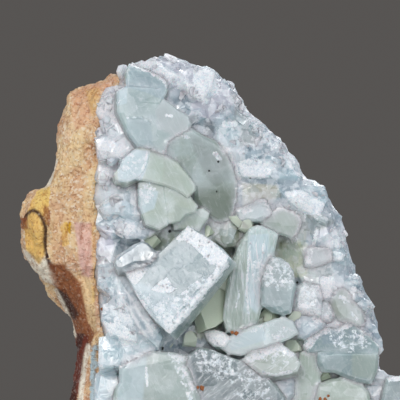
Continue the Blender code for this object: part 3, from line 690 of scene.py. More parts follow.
HUES_LIGHT_AND_SHADE = [
    patch("lilac_grey", [(150, 60), (180, 62), (214, 74), (236, 100), (212, 120), (190, 112),
                         (164, 82)], 3, 0.8),
    patch("steel", [(166, 86), (178, 90), (190, 100), (190, 118), (176, 110), (166, 100)], 1.6,
          0.85),
    patch("slate", [(190, 116), (198, 117), (196, 132), (190, 130)], 1.3, 0.8),
    patch("slate", [(206, 118), (214, 124), (212, 138), (204, 136)], 1.3, 0.7),
    patch("smoke", [(236, 108), (250, 118), (256, 142), (240, 146), (232, 130)], 2.5, 0.7),
    patch("ice", [(218, 128), (240, 126), (238, 146), (216, 146)], 1.6, 0.8),
    patch("steel", [(244, 148), (268, 148), (270, 158), (246, 160)], 1.6, 0.9),
    patch("pale_blue", [(240, 162), (272, 162), (268, 176), (240, 176)], 2, 0.6),
    patch("blue", [(276, 160), (296, 164), (298, 180), (280, 178)], 2.5, 0.8),
    patch("blue", [(302, 188), (324, 188), (332, 204), (324, 206), (304, 198)], 2, 0.7),
    patch("sand", [(242, 184), (276, 186), (280, 196), (266, 200), (244, 206)], 2, 0.85),
    # Painted shadow: the smoke patch below lies under the right rim's overhang.
    patch("smoke", [(298, 214), (320, 214), (334, 222), (322, 230), (300, 236)], 2, 0.9),
    patch("moss", [(258, 216), (276, 212), (272, 228), (262, 230)], 2, 0.6),
    patch("lilac_grey", [(316, 232), (330, 226), (342, 242), (318, 246)], 1.6, 0.7),
    patch("ice", [(330, 250), (348, 248), (350, 266), (336, 262)], 1.6, 0.7),
    patch("sea", [(300, 268), (318, 264), (316, 282), (300, 280)], 1.6, 0.7),
    patch("steel", [(350, 280), (372, 306), (380, 340), (366, 330), (354, 304)], 2, 0.7),
    patch("pale_blue", [(96, 162), (122, 162), (118, 200), (96, 200)], 3, 0.7),
    patch("lilac", [(96, 140), (124, 138), (124, 158), (98, 160)], 2.5, 0.7),
    patch("ice", [(100, 330), (130, 330), (156, 342), (152, 360), (104, 372)], 3, 0.8),
    patch("pale_blue", [(96, 370), (118, 370), (114, 474), (90, 474)], 3, 0.8),
    # Painted shadow: the moss band below lies under the fan's overhang.
    patch("moss", [(144, 240), (158, 231), (180, 230), (178, 238), (158, 250), (148, 250)], 1.6,
          0.85),
    # Painted light: the pale green patches brighten the hollow's floor where the crystals shade
    # it.
    patch("pale_green", [(200, 272), (230, 272), (236, 336), (196, 336)], 2.5, 1.0),
    patch("pale_green", [(272, 240), (306, 244), (306, 276), (276, 276)], 2.5, 1.0),
    # Painted shade of the hollow's depth, partly the green of its crystals.
    patch("olive", [(197, 222), (214, 221), (236, 217), (262, 220), (272, 232), (262, 246),
                    (240, 250), (222, 262), (204, 240)], 2.5, 0.85, near=-0.009, far=0.02),
    patch("olive", [(274, 232), (304, 232), (304, 248), (276, 248)], 2, 0.7,
          near=-0.009, far=0.02),
    patch("olive", [(252, 306), (280, 306), (274, 322), (254, 326)], 2, 0.8, near=-0.009,
          far=0.02),
    patch("olive", [(196, 316), (212, 316), (206, 330), (190, 330)], 2, 0.8, near=-0.009,
          far=0.02),
    # Painted shade: the dark olive patches darken the narrowest crevices.
    patch("dark_olive", [(200, 224), (213, 224), (211, 240), (204, 238)], 1.3, 0.8, near=-0.007,
          far=0.02),
    patch("dark_olive", [(240, 220), (260, 218), (262, 228), (244, 230)], 1.3, 0.7, near=-0.007,
          far=0.02),
    patch("dark_olive", [(278, 237), (302, 237), (300, 243), (280, 243)], 1.3, 0.7, near=-0.007,
          far=0.02),
    # Painted shade under the slanting bar and the lower crystals, partly the green of the hollow.
    patch("moss", [(276, 338), (302, 338), (302, 352), (290, 352)], 1.6, 0.8, near=-0.012),
    patch("olive", [(318, 364), (346, 376), (340, 380), (318, 380)], 1.6, 0.7, near=-0.010),
    patch("olive", [(358, 380), (374, 380), (370, 390), (360, 388)], 1.3, 0.7, near=-0.008),
    patch("white", [(97, 90), (112, 86), (118, 94), (117, 116), (103, 119), (96, 108)], 1.5,
          0.75),
    patch("pale_blue", [(104, 119), (116, 117), (128, 127), (121, 140), (107, 133)], 1.5, 0.7),
    patch("white", [(96, 142), (112, 136), (132, 141), (127, 153), (104, 160)], 1.5, 0.75),
    patch("white", [(95, 161), (120, 160), (124, 200), (96, 204)], 2, 0.5),
    patch("ice", [(119, 160), (136, 156), (142, 170), (122, 176)], 1.5, 0.6),
    patch("pale_blue", [(104, 206), (124, 200), (140, 212), (136, 228), (110, 226)], 2, 0.8),
    patch("lilac", [(96, 226), (112, 228), (114, 250), (98, 252)], 2, 0.7),
    patch("white", [(96, 250), (112, 250), (111, 262), (97, 264)], 1.5, 0.7),
    patch("ice", [(104, 268), (120, 276), (126, 292), (110, 290)], 1.5, 0.5),
    patch("white", [(318, 240), (336, 228), (346, 238), (330, 248)], 1.5, 0.5),
    patch("pearl", [(314, 262), (330, 262), (332, 276), (316, 278)], 1.5, 0.8),
    patch("steel", [(350, 240), (356, 252), (360, 268), (352, 264)], 1.5, 0.6),
    patch("slate", [(252, 206), (272, 204), (286, 210), (270, 213)], 2, 0.5),
    line("white", [(119, 290), (132, 312), (146, 334)], 0.8, 1.6, 0.9),
    line("steel", [(123, 290), (136, 312), (150, 334)], 0.4, 1.6, 0.7),
    line("white", [(127, 290), (140, 312), (155, 335)], 0.8, 1.6, 0.9),
]
print("strokes on the vein:", len(SUGAR) + len(VEIN_FROST) + len(HUES_LIGHT_AND_SHADE))

# %% [markdown]
# The vein itself is broken. Where the specimen was split from the wall it shows sugary white
# cleavage, and in the hollow it is smoother. The relief is deep in the sugary places only, so
# the crystals that are half grown into the vein keep their clean faces.
#
# The solid has narrow grooves between its lumps. Swelling it, remeshing it in voxels and shrinking
# it again heals them. Then the mesh is thinned to few large triangles, which are the flat faces of
# broken cleavage, and subdivided without smoothing, which keeps them flat and gives the paint
# enough vertices.

# %% Broken vein
CRUST_CELL = 0.00042
FACET_TRIANGLES = 8200
HEALED = 0.00045
AT_ROCK = 0.004
ROCK_GAP = 0.0011
BACK_STARTS = 0.001
BACK_WHOLE = 0.004


def thin_to(piece, triangles):
    """Bring a piece down to a number of triangles, where its shape needs them least."""
    now = sum(len(face.vertices) - 2 for face in piece.data.polygons)
    finish_with(piece, "DECIMATE", ratio=min(1, triangles / now))


crust = fine_copy("baryte_crust", "broken_crust", CRUST_CELL)
finish_with(crust, "DISPLACE", strength=HEALED + CONTACT, mid_level=0)
finish_with(crust, "REMESH", mode="VOXEL", voxel_size=CRUST_CELL)
finish_with(crust, "DISPLACE", strength=-HEALED, mid_level=0)
crystal_skin = skin(*crystals.values())
sugar = mask(crust, "sugar", SUGAR)
behind = np.clip((points_of(crust)[:, 1] - BACK_STARTS) / BACK_WHOLE, 0, 1)
rock_skin = BVHTree.FromObject(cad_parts["matrix"], bpy.context.evaluated_depsgraph_get())
free = np.array([min(1, (rock_skin.find_nearest(vertex.co)[3] - ROCK_GAP) / AT_ROCK)
                 for vertex in crust.data.vertices])
sugar = np.maximum(sugar, behind) * np.clip(free, 0, 1)
attribute(crust, "sugar", sugar)
broken = group_from(crust, "broken", sugar)
relief(crust, "VORONOI", 0.0050, -0.0012, group=broken, turn=(20, 35, 10), middle=0.35,
       distance_metric="CHEBYCHEV", color_mode="INTENSITY")
relief(crust, "VORONOI", 0.0028, 0.0008, group=broken, turn=(-15, 20, 40), **STEPS)
relief(crust, "VORONOI", 0.0013, 0.0003, group=broken, turn=(30, -20, 10), **STEPS)
relief(crust, "CLOUDS", 0.0040, 0.00025)
relief(crust, "VORONOI", 0.0042, 0.00060, turn=(10, 30, 0), **STEPS)
close_round(crust, [crystal_skin], VEIN_REACH)
thin_to(crust, FACET_TRIANGLES)
finish_with(crust, "SUBSURF", subdivision_type="SIMPLE", levels=2, render_levels=2)
relief(crust, "VORONOI", 0.0016, 0.00016, turn=(30, -20, 10), **STEPS)
crust_skin = skin(crust)
for piece in crystals.values():
    others = [other for other in crystals.values()
              if other is not piece and neighbours(piece, other)]
    close_round(piece, [crust_skin, skin(*others)], CRYSTAL_REACH)
    mark_edges(piece)
stain_light_and_shade(crust, HUES_LIGHT_AND_SHADE)
mask(crust, "frost", VEIN_FROST)
print("crust faces:", len(crust.data.polygons))

# %% [markdown]
# Weathering has left an ochre nodule with a dark rim on the rock's left side, a brown seam below
# it and a cream skin at its outer edge. Low down a thin film of baryte covers the rock beside the
# vein.

# %% Painted places of the rock
ROCK_STAINS = [
    patch("salmon", [(74, 92), (100, 84), (124, 78), (94, 96), (88, 124), (78, 128), (73, 110)],
          8, 0.6),
    patch("honey", [(88, 92), (98, 90), (102, 112), (96, 122)], 4, 0.4),
    patch("olive", [(99, 128), (103, 130), (102, 138), (98, 137)], 2, 0.7),
    patch("rose", [(77, 224), (90, 224), (93, 276), (84, 276)], 6, 0.7),
    patch("cream", [(49, 168), (58, 160), (50, 184), (38, 196), (44, 184)], 3, 0.9),
    patch("cream", [(22, 250), (36, 256), (50, 262), (56, 284), (40, 280), (26, 262)], 4, 0.8),
    patch("ochre", [(34, 200), (42, 190), (50, 192), (47, 218), (46, 250), (40, 262),
                    (28, 248), (26, 222)], 3, 0.95),
    patch("honey", [(38, 192), (50, 188), (48, 206), (38, 208)], 3, 0.8),
    patch("rust", [(46, 206), (52, 212), (50, 226), (46, 218)], 2, 0.7),
    patch("olive_yellow", [(67, 222), (72, 222), (71, 233), (67, 233)], 1.2, 0.95),
    patch("ochre", [(62, 226), (66, 222), (70, 244), (64, 246)], 2.5, 0.7),
    line("dark_brown", [(24, 222), (28, 214), (34, 210), (40, 213), (44, 219), (47, 229),
                        (46, 240), (47, 252), (50, 263), (55, 270)], 0.7, 2.2, 0.95),
    patch("rust", [(21, 218), (28, 218), (28, 228), (23, 229)], 2, 0.8),
    patch("brown", [(52, 266), (64, 266), (80, 284), (90, 310), (94, 332), (88, 352),
                    (80, 350), (74, 320), (62, 300)], 6, 0.8),
    patch("dark_brown", [(58, 290), (66, 294), (78, 314), (74, 318), (64, 306)], 3, 0.9),
    patch("tan", [(82, 276), (94, 280), (96, 330), (90, 320)], 3, 0.8),
    patch("red_brown", [(76, 334), (88, 336), (86, 352), (82, 372), (76, 400), (76, 480),
                        (64, 480), (70, 380)], 3, 1.0),
    patch("dark_brown", [(78, 334), (84, 334), (80, 348), (76, 352)], 2, 0.8),
    patch("dark_brown", [(66, 388), (76, 382), (76, 400), (64, 400)], 2, 0.8),
    line("cream", [(56, 290), (66, 310), (75, 336)], 1.0, 2.0, 0.9),
    line("cream", [(89, 346), (86, 360), (83, 384), (82, 400), (84, 440)], 1.6, 2.4, 0.95),
    patch("ice", [(92, 352), (99, 340), (99, 480), (92, 480), (91, 400), (91, 376)], 1.2, 0.9),
    line("ochre", [(96, 150), (94, 210), (95, 262), (94, 300)], 1.0, 2.0, 0.5),
]
print("strokes on the rock:", len(ROCK_STAINS))

# %% [markdown]
# The wall rock is granular and streaked along the vein, and rougher at its back, where it was
# broken from the wall. The rock of the model keeps a small gap to the vein, so here its skin is
# pushed out where it faces it, and its relief is calm there. A Vertex Weight Proximity modifier
# finds those places by the distance to the vein.

# %% Wall rock
ROCK_CELL = 0.00048
ROCK_TRIANGLES = 190000
ROCK_FADE = 0.014
ROCK_SWELL = 0.0014
MEETS_VEIN = 0.0012
CLEAR_OF_VEIN = 0.0024
CALM = 0.25
ROUGH_STARTS = 0.006
ROUGH_WHOLE = 0.008

rock = fine_copy("matrix", "granular_rock", ROCK_CELL)
finish_with(rock, "SMOOTH", iterations=12, factor=0.5)
near_vein = rock.vertex_groups.new(name="near_vein")
near_vein.add(range(len(rock.data.vertices)), 1.0, "REPLACE")
finish_with(rock, "VERTEX_WEIGHT_PROXIMITY", vertex_group=near_vein.name,
            target=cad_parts["baryte_crust"], proximity_mode="GEOMETRY",
            proximity_geometry={"FACE"}, min_dist=CLEAR_OF_VEIN, max_dist=MEETS_VEIN)
finish_with(rock, "DISPLACE", strength=ROCK_SWELL, mid_level=0, vertex_group=near_vein.name)
gaps = np.array([crust_skin.find_nearest(point.tolist())[3] for point in points_of(rock)])
open_rock = group_from(rock, "open_rock", np.clip(gaps / AT_ROCK, CALM, 1))
rough = np.clip((points_of(rock)[:, 1] - ROUGH_STARTS) / ROUGH_WHOLE, 0, 1)
back = group_from(rock, "back", rough)
relief(rock, "CLOUDS", 0.0160, 0.0030, group=back, middle=0.7)
relief(rock, "VORONOI", 0.0110, 0.0016, group=back, turn=(20, 10, 30), middle=0.7, **STEPS)
relief(rock, "CLOUDS", 0.0060, 0.0013, group=open_rock, stretch=(1, 1, 2.2))
relief(rock, "CLOUDS", 0.0018, 0.0009, group=open_rock, stretch=(1, 1, 2.5))
relief(rock, "VORONOI", 0.0010, 0.0006, color_mode="POSITION")
thin_to(rock, ROCK_TRIANGLES)
stain_light_and_shade(rock, ROCK_STAINS, fade=ROCK_FADE)
print("rock faces:", len(rock.data.polygons))

# %% [markdown]
# The sawn base is one plane. The relief has roughened it, so every point that stood on it goes
# back to the plane, and nothing reaches below it.

# %% Sawn base
SAWN = 0.0005
grown = [crust, rock, *crystals.values()]
for piece in grown:
    points = points_of(piece)
    points[points[:, 2] < SAWN, 2] = 0
    move_to(piece, points)
print("on the base:", [piece.name for piece in grown if points_of(piece)[:, 2].min() == 0])

# %% [markdown]
# Loose flakes of cleaved baryte cover the broken places. A shard is cut from a block with a
# few slanted planes, each given by a point and the direction that falls away. Many copies are
# turned, scaled, set into the surface and joined. A particle system could scatter them too, but
# the joined mesh is real geometry that can be exported. Each copy keeps a tone of its own,
# because some flakes are clear and others white.

# %% Shards
draw = random.Random(7)
SPIN = 1.2
SHARD_CUTS = {
    "plate": ((1.0, 0.32, 0.8), [
        ((0.3, 0, 0.3), (1, 0.2, 0.8)), ((-0.4, 0, 0.2), (-1, 0.3, 0.4)),
        ((0.1, 0, -0.3), (0.3, -0.2, -1))]),
    "block": ((0.8, 0.6, 0.9), [
        ((0.25, -0.2, 0.3), (1, -0.8, 0.9)), ((-0.3, 0, 0.25), (-1, 0.2, 1)),
        ((0, -0.25, -0.3), (0.2, -1, -0.8))]),
    "splinter": ((0.45, 0.28, 1.3), [
        ((0.1, 0, 0.45), (0.8, 0, 1)), ((-0.1, -0.1, 0.5), (-1, -1, 1)),
        ((0, 0, -0.5), (-0.4, 0.5, -1))]),
}


def make_shard(name, size, cuts):
    """One broken crystal, about a unit wide: a block cut by slanted planes."""
    deselect()
    bpy.ops.mesh.primitive_cube_add(size=1)
    shard = bpy.context.active_object
    shard.name = name
    shard.scale = size
    bpy.ops.object.transform_apply(location=False, rotation=False, scale=True)
    bpy.ops.object.mode_set(mode="EDIT")
    for spot, way in cuts:
        bpy.ops.mesh.select_all(action="SELECT")
        bpy.ops.mesh.bisect(plane_co=spot, plane_no=way, use_fill=True, clear_outer=True)
    bpy.ops.mesh.select_all(action="SELECT")
    bpy.ops.mesh.quads_convert_to_tris()
    bpy.ops.object.mode_set(mode="OBJECT")
    return shard


def joined_copies(name, spots):
    """Turned and scaled copies of the shards as one piece, each with its own tone."""
    corners, faces, tones = [], [], []
    for shard, turn, size, spot in spots:
        points = points_of(shards[shard]) * size @ np.array(turn.transposed()) + np.array(spot)
        start = sum(map(len, corners))
        faces += [[start + corner for corner in face.vertices]
                  for face in shards[shard].data.polygons]
        corners.append(points)
        tones += [draw.random()] * len(points)
    mesh = bpy.data.meshes.new(name)
    mesh.from_pydata(np.concatenate(corners).tolist(), [], faces)
    piece = bpy.data.objects.new(name, mesh)
    bpy.context.scene.collection.objects.link(piece)
    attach(piece, "root")
    attribute(piece, "tone", np.array(tones))
    return piece


def lying(normal, spread):
    """A turn that lays a shard along a surface, with some disorder."""
    lie = (-normal).to_track_quat("Y", "Z").to_matrix()
    return (lie @ Matrix.Rotation(draw.uniform(-SPIN, SPIN), 3, "Y")
            @ Matrix.Rotation(draw.gauss(0, spread), 3, "X")
            @ Matrix.Rotation(draw.gauss(0, spread), 3, "Z"))


shards = {name: make_shard(name, *facts) for name, facts in SHARD_CUTS.items()}
print("faces of a shard:", {name: len(shard.data.polygons) for name, shard in shards.items()})

# %% [markdown]
# The flakes are thrown at the front of the rim, as seen in the picture, within bands. A flake
# lies roughly along the surface that it hits, because cleavage planes run side by side there.
# A band is a line of pixels, its half width, a number of flakes and the range of their sizes.

# %% Rim flakes
FLAKE_BANDS = [
    ([(112, 88), (128, 72), (150, 62), (180, 64), (214, 74)], 6, 30, (0.0014, 0.0050)),
    ([(170, 84), (200, 98), (232, 116)], 9, 28, (0.0014, 0.0050)),
    ([(220, 82), (240, 104), (262, 132), (290, 162), (302, 180)], 7, 44, (0.0012, 0.0046)),
    ([(236, 128), (262, 156), (290, 186), (320, 200)], 9, 28, (0.0014, 0.0044)),
    ([(332, 204), (338, 232), (350, 266), (368, 306), (380, 344)], 5, 50, (0.0012, 0.0026)),
    ([(98, 100), (98, 150), (99, 200), (100, 260), (102, 330)], 5, 34, (0.0008, 0.0024)),
    ([(104, 94), (112, 104), (106, 124), (114, 144), (102, 158)], 6, 40, (0.0012, 0.0036)),
    ([(112, 158), (104, 178), (122, 194), (108, 214), (120, 230)], 7, 44, (0.0012, 0.0038)),
    ([(104, 262), (112, 286), (122, 312), (138, 334)], 7, 34, (0.0012, 0.0036)),
]
SUNK = 0.34
SCATTER = 0.7
TURNED_AWAY = -0.1


def thrown(points, width, count, sizes):
    """Flakes at random along a band of the front view."""
    spots = []
    for _ in range(count):
        along = draw.random() * (len(points) - 1)
        leg = int(along)
        share = along - leg
        column = points[leg][0] + (points[leg + 1][0] - points[leg][0]) * share
        row = points[leg][1] + (points[leg + 1][1] - points[leg][1]) * share
        pixel = (column + draw.gauss(0, width * SCATTER), row + draw.gauss(0, width * SCATTER))
        spot, normal = seen_on(crust_skin, pixel)
        if spot is None or normal.y > TURNED_AWAY:
            continue
        size = sizes[0] + (sizes[1] - sizes[0]) * draw.random() ** 2
        spots.append((draw.choice(list(shards)), lying(normal, 0.35), size,
                      spot - normal * size * SUNK))
    return spots


rim_spots = []
for band in FLAKE_BANDS:
    rim_spots += thrown(*band)
flakes = joined_copies("rim_flakes", rim_spots)
print("rim flakes:", len(rim_spots))

# %% [markdown]
# Crumbs also lie where the crystals grow out of the vein, and fine grains make the frost of the
# frosted patches. Their spots are drawn from the vertices: crumbs from those of the vein that
# lie near a crystal, grains from those of the crystals whose frost is strong.

# %% Crumbs and frost grains
CRUMB_COUNT = 300
CRUMB_REACH = 0.0012
CRUMB_SIZES = (0.0004, 0.0013)
GRAIN_COUNT = 260
GRAIN_SIZES = (0.0003, 0.0006)
LOOKS_ASIDE = -0.2
STRONG_FROST = 0.6
crumb_spots = []
while len(crumb_spots) < CRUMB_COUNT:
    vertex = crust.data.vertices[draw.randrange(len(crust.data.vertices))]
    close = crystal_skin.find_nearest(vertex.co, CRUMB_REACH)[0] is not None
    if vertex.normal.y > LOOKS_ASIDE or not close:
        continue
    size = draw.uniform(*CRUMB_SIZES)
    crumb_spots.append((draw.choice(list(shards)), lying(vertex.normal, 0.6), size, vertex.co))
crumbs = joined_copies("contact_crumbs", crumb_spots)

frosted_vertices = []
for piece in crystals.values():
    frost = np.zeros(len(piece.data.vertices), np.float32)
    piece.data.attributes["frost"].data.foreach_get("value", frost)
    frosted_vertices += [piece.data.vertices[int(number)]
                         for number in np.nonzero(frost > STRONG_FROST)[0]]
grain_spots = []
for vertex in draw.sample(frosted_vertices, GRAIN_COUNT):
    size = draw.uniform(*GRAIN_SIZES)
    grain_spots.append(("block", lying(vertex.normal, 0.4), size, vertex.co))
grains = joined_copies("frost_grains", grain_spots)
print("crumbs:", len(crumb_spots), "grains:", len(grain_spots))

# %% [markdown]
# Small crystals stand in the narrow gaps between the large ones. They are shards too, set at a
# pixel of the front view and a depth, and wide enough to touch both sides of their gap.

# %% Crystals in the gaps
GAP_CRYSTALS = [
    ("block", (268, 317), -0.0110, 0.0044), ("plate", (263, 322), -0.0110, 0.0040),
    ("block", (246, 226), -0.0100, 0.0036), ("splinter", (238, 222), -0.0105, 0.0040),
    ("block", (294, 317), -0.0110, 0.0040), ("plate", (292, 346), -0.0100, 0.0044),
    ("block", (322, 372), -0.0100, 0.0040), ("block", (206, 232), -0.0100, 0.0036),
    ("plate", (220, 300), -0.0100, 0.0150), ("plate", (226, 280), -0.0110, 0.0080),
    ("block", (152, 240), -0.0130, 0.0040), ("plate", (166, 340), -0.0120, 0.0040),
    ("block", (190, 338), -0.0120, 0.0040), ("splinter", (354, 378), -0.0100, 0.0034),
]
gap_crystals = joined_copies("gap_crystals", [
    (shard, lying(Vector((0, -1, 0)), 0.25), size, place(pixel, depth))
    for shard, pixel, depth, size in GAP_CRYSTALS])
print("crystals in the gaps:", len(GAP_CRYSTALS))

# %% [markdown]
# A few grains of iron oxide and sulphide sit on the crystals. They are shards as well, laid on
# whatever is seen first at their pixel. After them the three shards themselves aren't needed.

# %% Dark grains
SPECKS = [
    ((218, 162), 0.0006), ((209, 171), 0.0005), ((216.5, 191.5), 0.0004), ((170, 231), 0.0007),
    ((163, 347), 0.0008), ((297, 282), 0.0006), ((250, 178), 0.0004),
]
RUSTY = [((236, 332), 0.0011), ((232, 331), 0.0009), ((202, 386), 0.0013), ((198, 385), 0.0008),
         ((324, 398), 0.0011), ((319, 397), 0.0009), ((103, 308), 0.0008), ((327, 394), 0.0007)]
whole_skin = [skin(piece) for piece in grown]


def seen_spot(pixel):
    """The first point of the specimen behind a pixel, and its normal."""
    hits = [seen_on(surface, pixel) for surface in whole_skin]
    return min((hit for hit in hits if hit[0] is not None), key=lambda hit: hit[0].y)


def specks(name, places):
    """Small dark grains at pixels of the front view."""
    spots = []
    for pixel, size in places:
        spot, normal = seen_spot(pixel)
        spots.append(("block", lying(normal, 0.5), size, spot))
    return joined_copies(name, spots)


dark_specks = specks("sulphide_specks", SPECKS)
rusty_specks = specks("iron_oxide_specks", RUSTY)
for shard in shards.values():
    bpy.data.objects.remove(shard)
print("dark grains:", len(SPECKS), "rusty grains:", len(RUSTY))

# %% [markdown]
# A finish is a tree of small nodes. Made by hand each would be wired with the mouse, but here
# the same few kinds come back again and again, so each kind gets a function of its own that
# places one node, fills in its values and gives back what comes out of it.

# %% Nodes in short
def new_group(name, inputs, outputs):
    """A shader node group with its sockets, and its two ends."""
    group = bpy.data.node_groups.new(name, "ShaderNodeTree")
    for label, kind, value in inputs:
        socket = group.interface.new_socket(label, in_out="INPUT", socket_type=kind)
        socket.default_value = value
    for label, kind in outputs:
        group.interface.new_socket(label, in_out="OUTPUT", socket_type=kind)
    return group, group.nodes.new("NodeGroupInput"), group.nodes.new("NodeGroupOutput")


def feed(tree, value, socket):
    """Link a socket, or set a number on it."""
    if isinstance(value, bpy.types.NodeSocket):
        tree.links.new(value, socket)
    else:
        socket.default_value = value


def use_group(tree, group, **values):
    """Place a node group with its values, and give back all that comes out of it."""
    node = tree.nodes.new("ShaderNodeGroup")
    node.node_tree = group
    for label, value in values.items():
        feed(tree, value, node.inputs[label])
    return node.outputs


def read(tree, name, output="Fac"):
    """Read a painted attribute."""
    node = tree.nodes.new("ShaderNodeAttribute")
    node.attribute_name = name
    return node.outputs[output]


def noise(tree, vector, scale, detail=4, rough=0.6, distortion=0.0):
    """A noise texture's value."""
    node = tree.nodes.new("ShaderNodeTexNoise")
    tree.links.new(vector, node.inputs["Vector"])
    feed(tree, scale, node.inputs["Scale"])
    node.inputs["Detail"].default_value = detail
    node.inputs["Roughness"].default_value = rough
    node.inputs["Distortion"].default_value = distortion
    return node.outputs["Fac"]


def cells(tree, vector, scale):
    """A pattern of angular cells, each with its own random number."""
    node = tree.nodes.new("ShaderNodeTexVoronoi")
    node.distance = "CHEBYCHEV"
    tree.links.new(vector, node.inputs["Vector"])
    feed(tree, scale, node.inputs["Scale"])
    split = tree.nodes.new("ShaderNodeSeparateColor")
    tree.links.new(node.outputs["Color"], split.inputs["Color"])
    return split.outputs["Red"]


def calc(tree, operation, *values):
    """One step of arithmetic."""
    node = tree.nodes.new("ShaderNodeMath")
    node.operation = operation
    for value, socket in zip(values, node.inputs):
        feed(tree, value, socket)
    return node.outputs["Value"]


def ramp(tree, value, low, high, low_to=0.0, high_to=1.0):
    """Stretch a value smoothly from one range to another."""
    node = tree.nodes.new("ShaderNodeMapRange")
    node.interpolation_type = "SMOOTHSTEP"
    feed(tree, value, node.inputs["Value"])
    for label, number in (("From Min", low), ("From Max", high),
                          ("To Min", low_to), ("To Max", high_to)):
        feed(tree, number, node.inputs[label])
    return node.outputs["Result"]


def blend(tree, share, under, over, kind="MIX"):
    """Mix two colours."""
    node = tree.nodes.new("ShaderNodeMix")
    node.data_type = "RGBA"
    node.blend_type = kind
    feed(tree, share, node.inputs["Factor"])
    feed(tree, under, node.inputs["A"])
    feed(tree, over, node.inputs["B"])
    return node.outputs["Result"]


def bent(tree, scale, amount):
    """The piece's own coordinates, bent by a noise so that nothing is quite straight."""
    place_node = tree.nodes.new("ShaderNodeTexCoord")
    wave = tree.nodes.new("ShaderNodeTexNoise")
    wave.inputs["Scale"].default_value = scale
    tree.links.new(place_node.outputs["Object"], wave.inputs["Vector"])
    shift = tree.nodes.new("ShaderNodeVectorMath")
    shift.operation = "MULTIPLY_ADD"
    tree.links.new(wave.outputs["Color"], shift.inputs[0])
    shift.inputs[1].default_value = (amount,) * 3
    tree.links.new(place_node.outputs["Object"], shift.inputs[2])
    return shift.outputs["Vector"]


print("kinds of nodes:", [tool.__name__ for tool in (noise, cells, calc, ramp, blend, bent)])

# %% [markdown]
# Effects that come back in several finishes are node groups. The first turns a painted mask into
# angular chips: a Voronoi pattern of square cells gives every cell a number, and the cell is
# frosted where the mask is above it. The second draws fine streaks, and the third mixes milky
# crystal from clouds, from the flat tones that inner cleavage gives, and from pale veils.

# %% Node groups
WHITE = (*PALETTE["white"], 1)


def chips_group():
    """Turn a soft mask into frosted patches with a ragged, angular border."""
    group, start, end = new_group(
        "angular_chips",
        [("Mask", "NodeSocketFloat", 0.0), ("Scale", "NodeSocketFloat", 700.0),
         ("Soft", "NodeSocketFloat", 0.22)],
        [("Mask", "NodeSocketFloat")])
    vector = bent(group, 900.0, 0.0006)
    size = start.outputs["Scale"]
    angular = cells(group, vector, calc(group, "MULTIPLY", size, 1.9))
    ragged = ramp(group, noise(group, vector, size, 6, 0.72), 0.28, 0.72)
    level = calc(group, "ADD", calc(group, "MULTIPLY", angular, 0.35),
                 calc(group, "MULTIPLY", ragged, 0.65))
    over = calc(group, "SUBTRACT", start.outputs["Mask"], calc(group, "MULTIPLY", level, 0.95))
    chipped = ramp(group, over, calc(group, "MULTIPLY", start.outputs["Soft"], -1.0),
                   start.outputs["Soft"])
    there = ramp(group, start.outputs["Mask"], 0.02, 0.20)
    group.links.new(calc(group, "MULTIPLY", chipped, there), end.inputs["Mask"])
    return group


def streaks_group():
    """Fine streaks along one direction, as growth and cleavage leave them."""
    group, start, end = new_group(
        "growth_streaks",
        [("Turn", "NodeSocketVector", (0, 0, 0))],
        [("Mask", "NodeSocketFloat")])
    turn = group.nodes.new("ShaderNodeMapping")
    turn.inputs["Scale"].default_value = (1, 1, 0.06)
    lean = group.nodes.new("ShaderNodeMapping")
    group.links.new(start.outputs["Turn"], lean.inputs["Rotation"])
    group.links.new(bent(group, 200.0, 0.0008), lean.inputs["Vector"])
    group.links.new(lean.outputs["Vector"], turn.inputs["Vector"])
    fine = noise(group, turn.outputs["Vector"], 1600.0, 5, 0.65)
    group.links.new(ramp(group, fine, 0.52, 0.68), end.inputs["Mask"])
    return group


def milk_group():
    """The colour of milky crystal: clouds of a deeper colour, and pale veils."""
    group, start, end = new_group(
        "milky_crystal",
        [("Body", "NodeSocketColor", WHITE), ("Deep", "NodeSocketColor", WHITE),
         ("Veils", "NodeSocketFloat", 0.4)],
        [("Color", "NodeSocketColor")])
    vector = bent(group, 300.0, 0.002)
    clouds = ramp(group, noise(group, vector, 170.0, 3, 0.55), 0.35, 0.70)
    body = blend(group, clouds, start.outputs["Body"], start.outputs["Deep"])
    straight = bent(group, 250.0, 0.0008)
    large = cells(group, straight, 190.0)
    small = cells(group, straight, 430.0)
    body = blend(group, ramp(group, large, 0.2, 1.0, 0.0, 0.26), body, WHITE)
    body = blend(group, ramp(group, small, 0.6, 0.0, 0.0, 0.22), body, start.outputs["Deep"])
    wisps = ramp(group, noise(group, vector, 520.0, 6, 0.7, 1.2), 0.50, 0.74)
    veiled = blend(group, calc(group, "MULTIPLY", wisps, start.outputs["Veils"]), body, WHITE)
    group.links.new(veiled, end.inputs["Color"])
    return group


angular_chips = chips_group()
growth_streaks = streaks_group()
milky_crystal = milk_group()
print("groups:", [group.name for group in (angular_chips, growth_streaks, milky_crystal)])
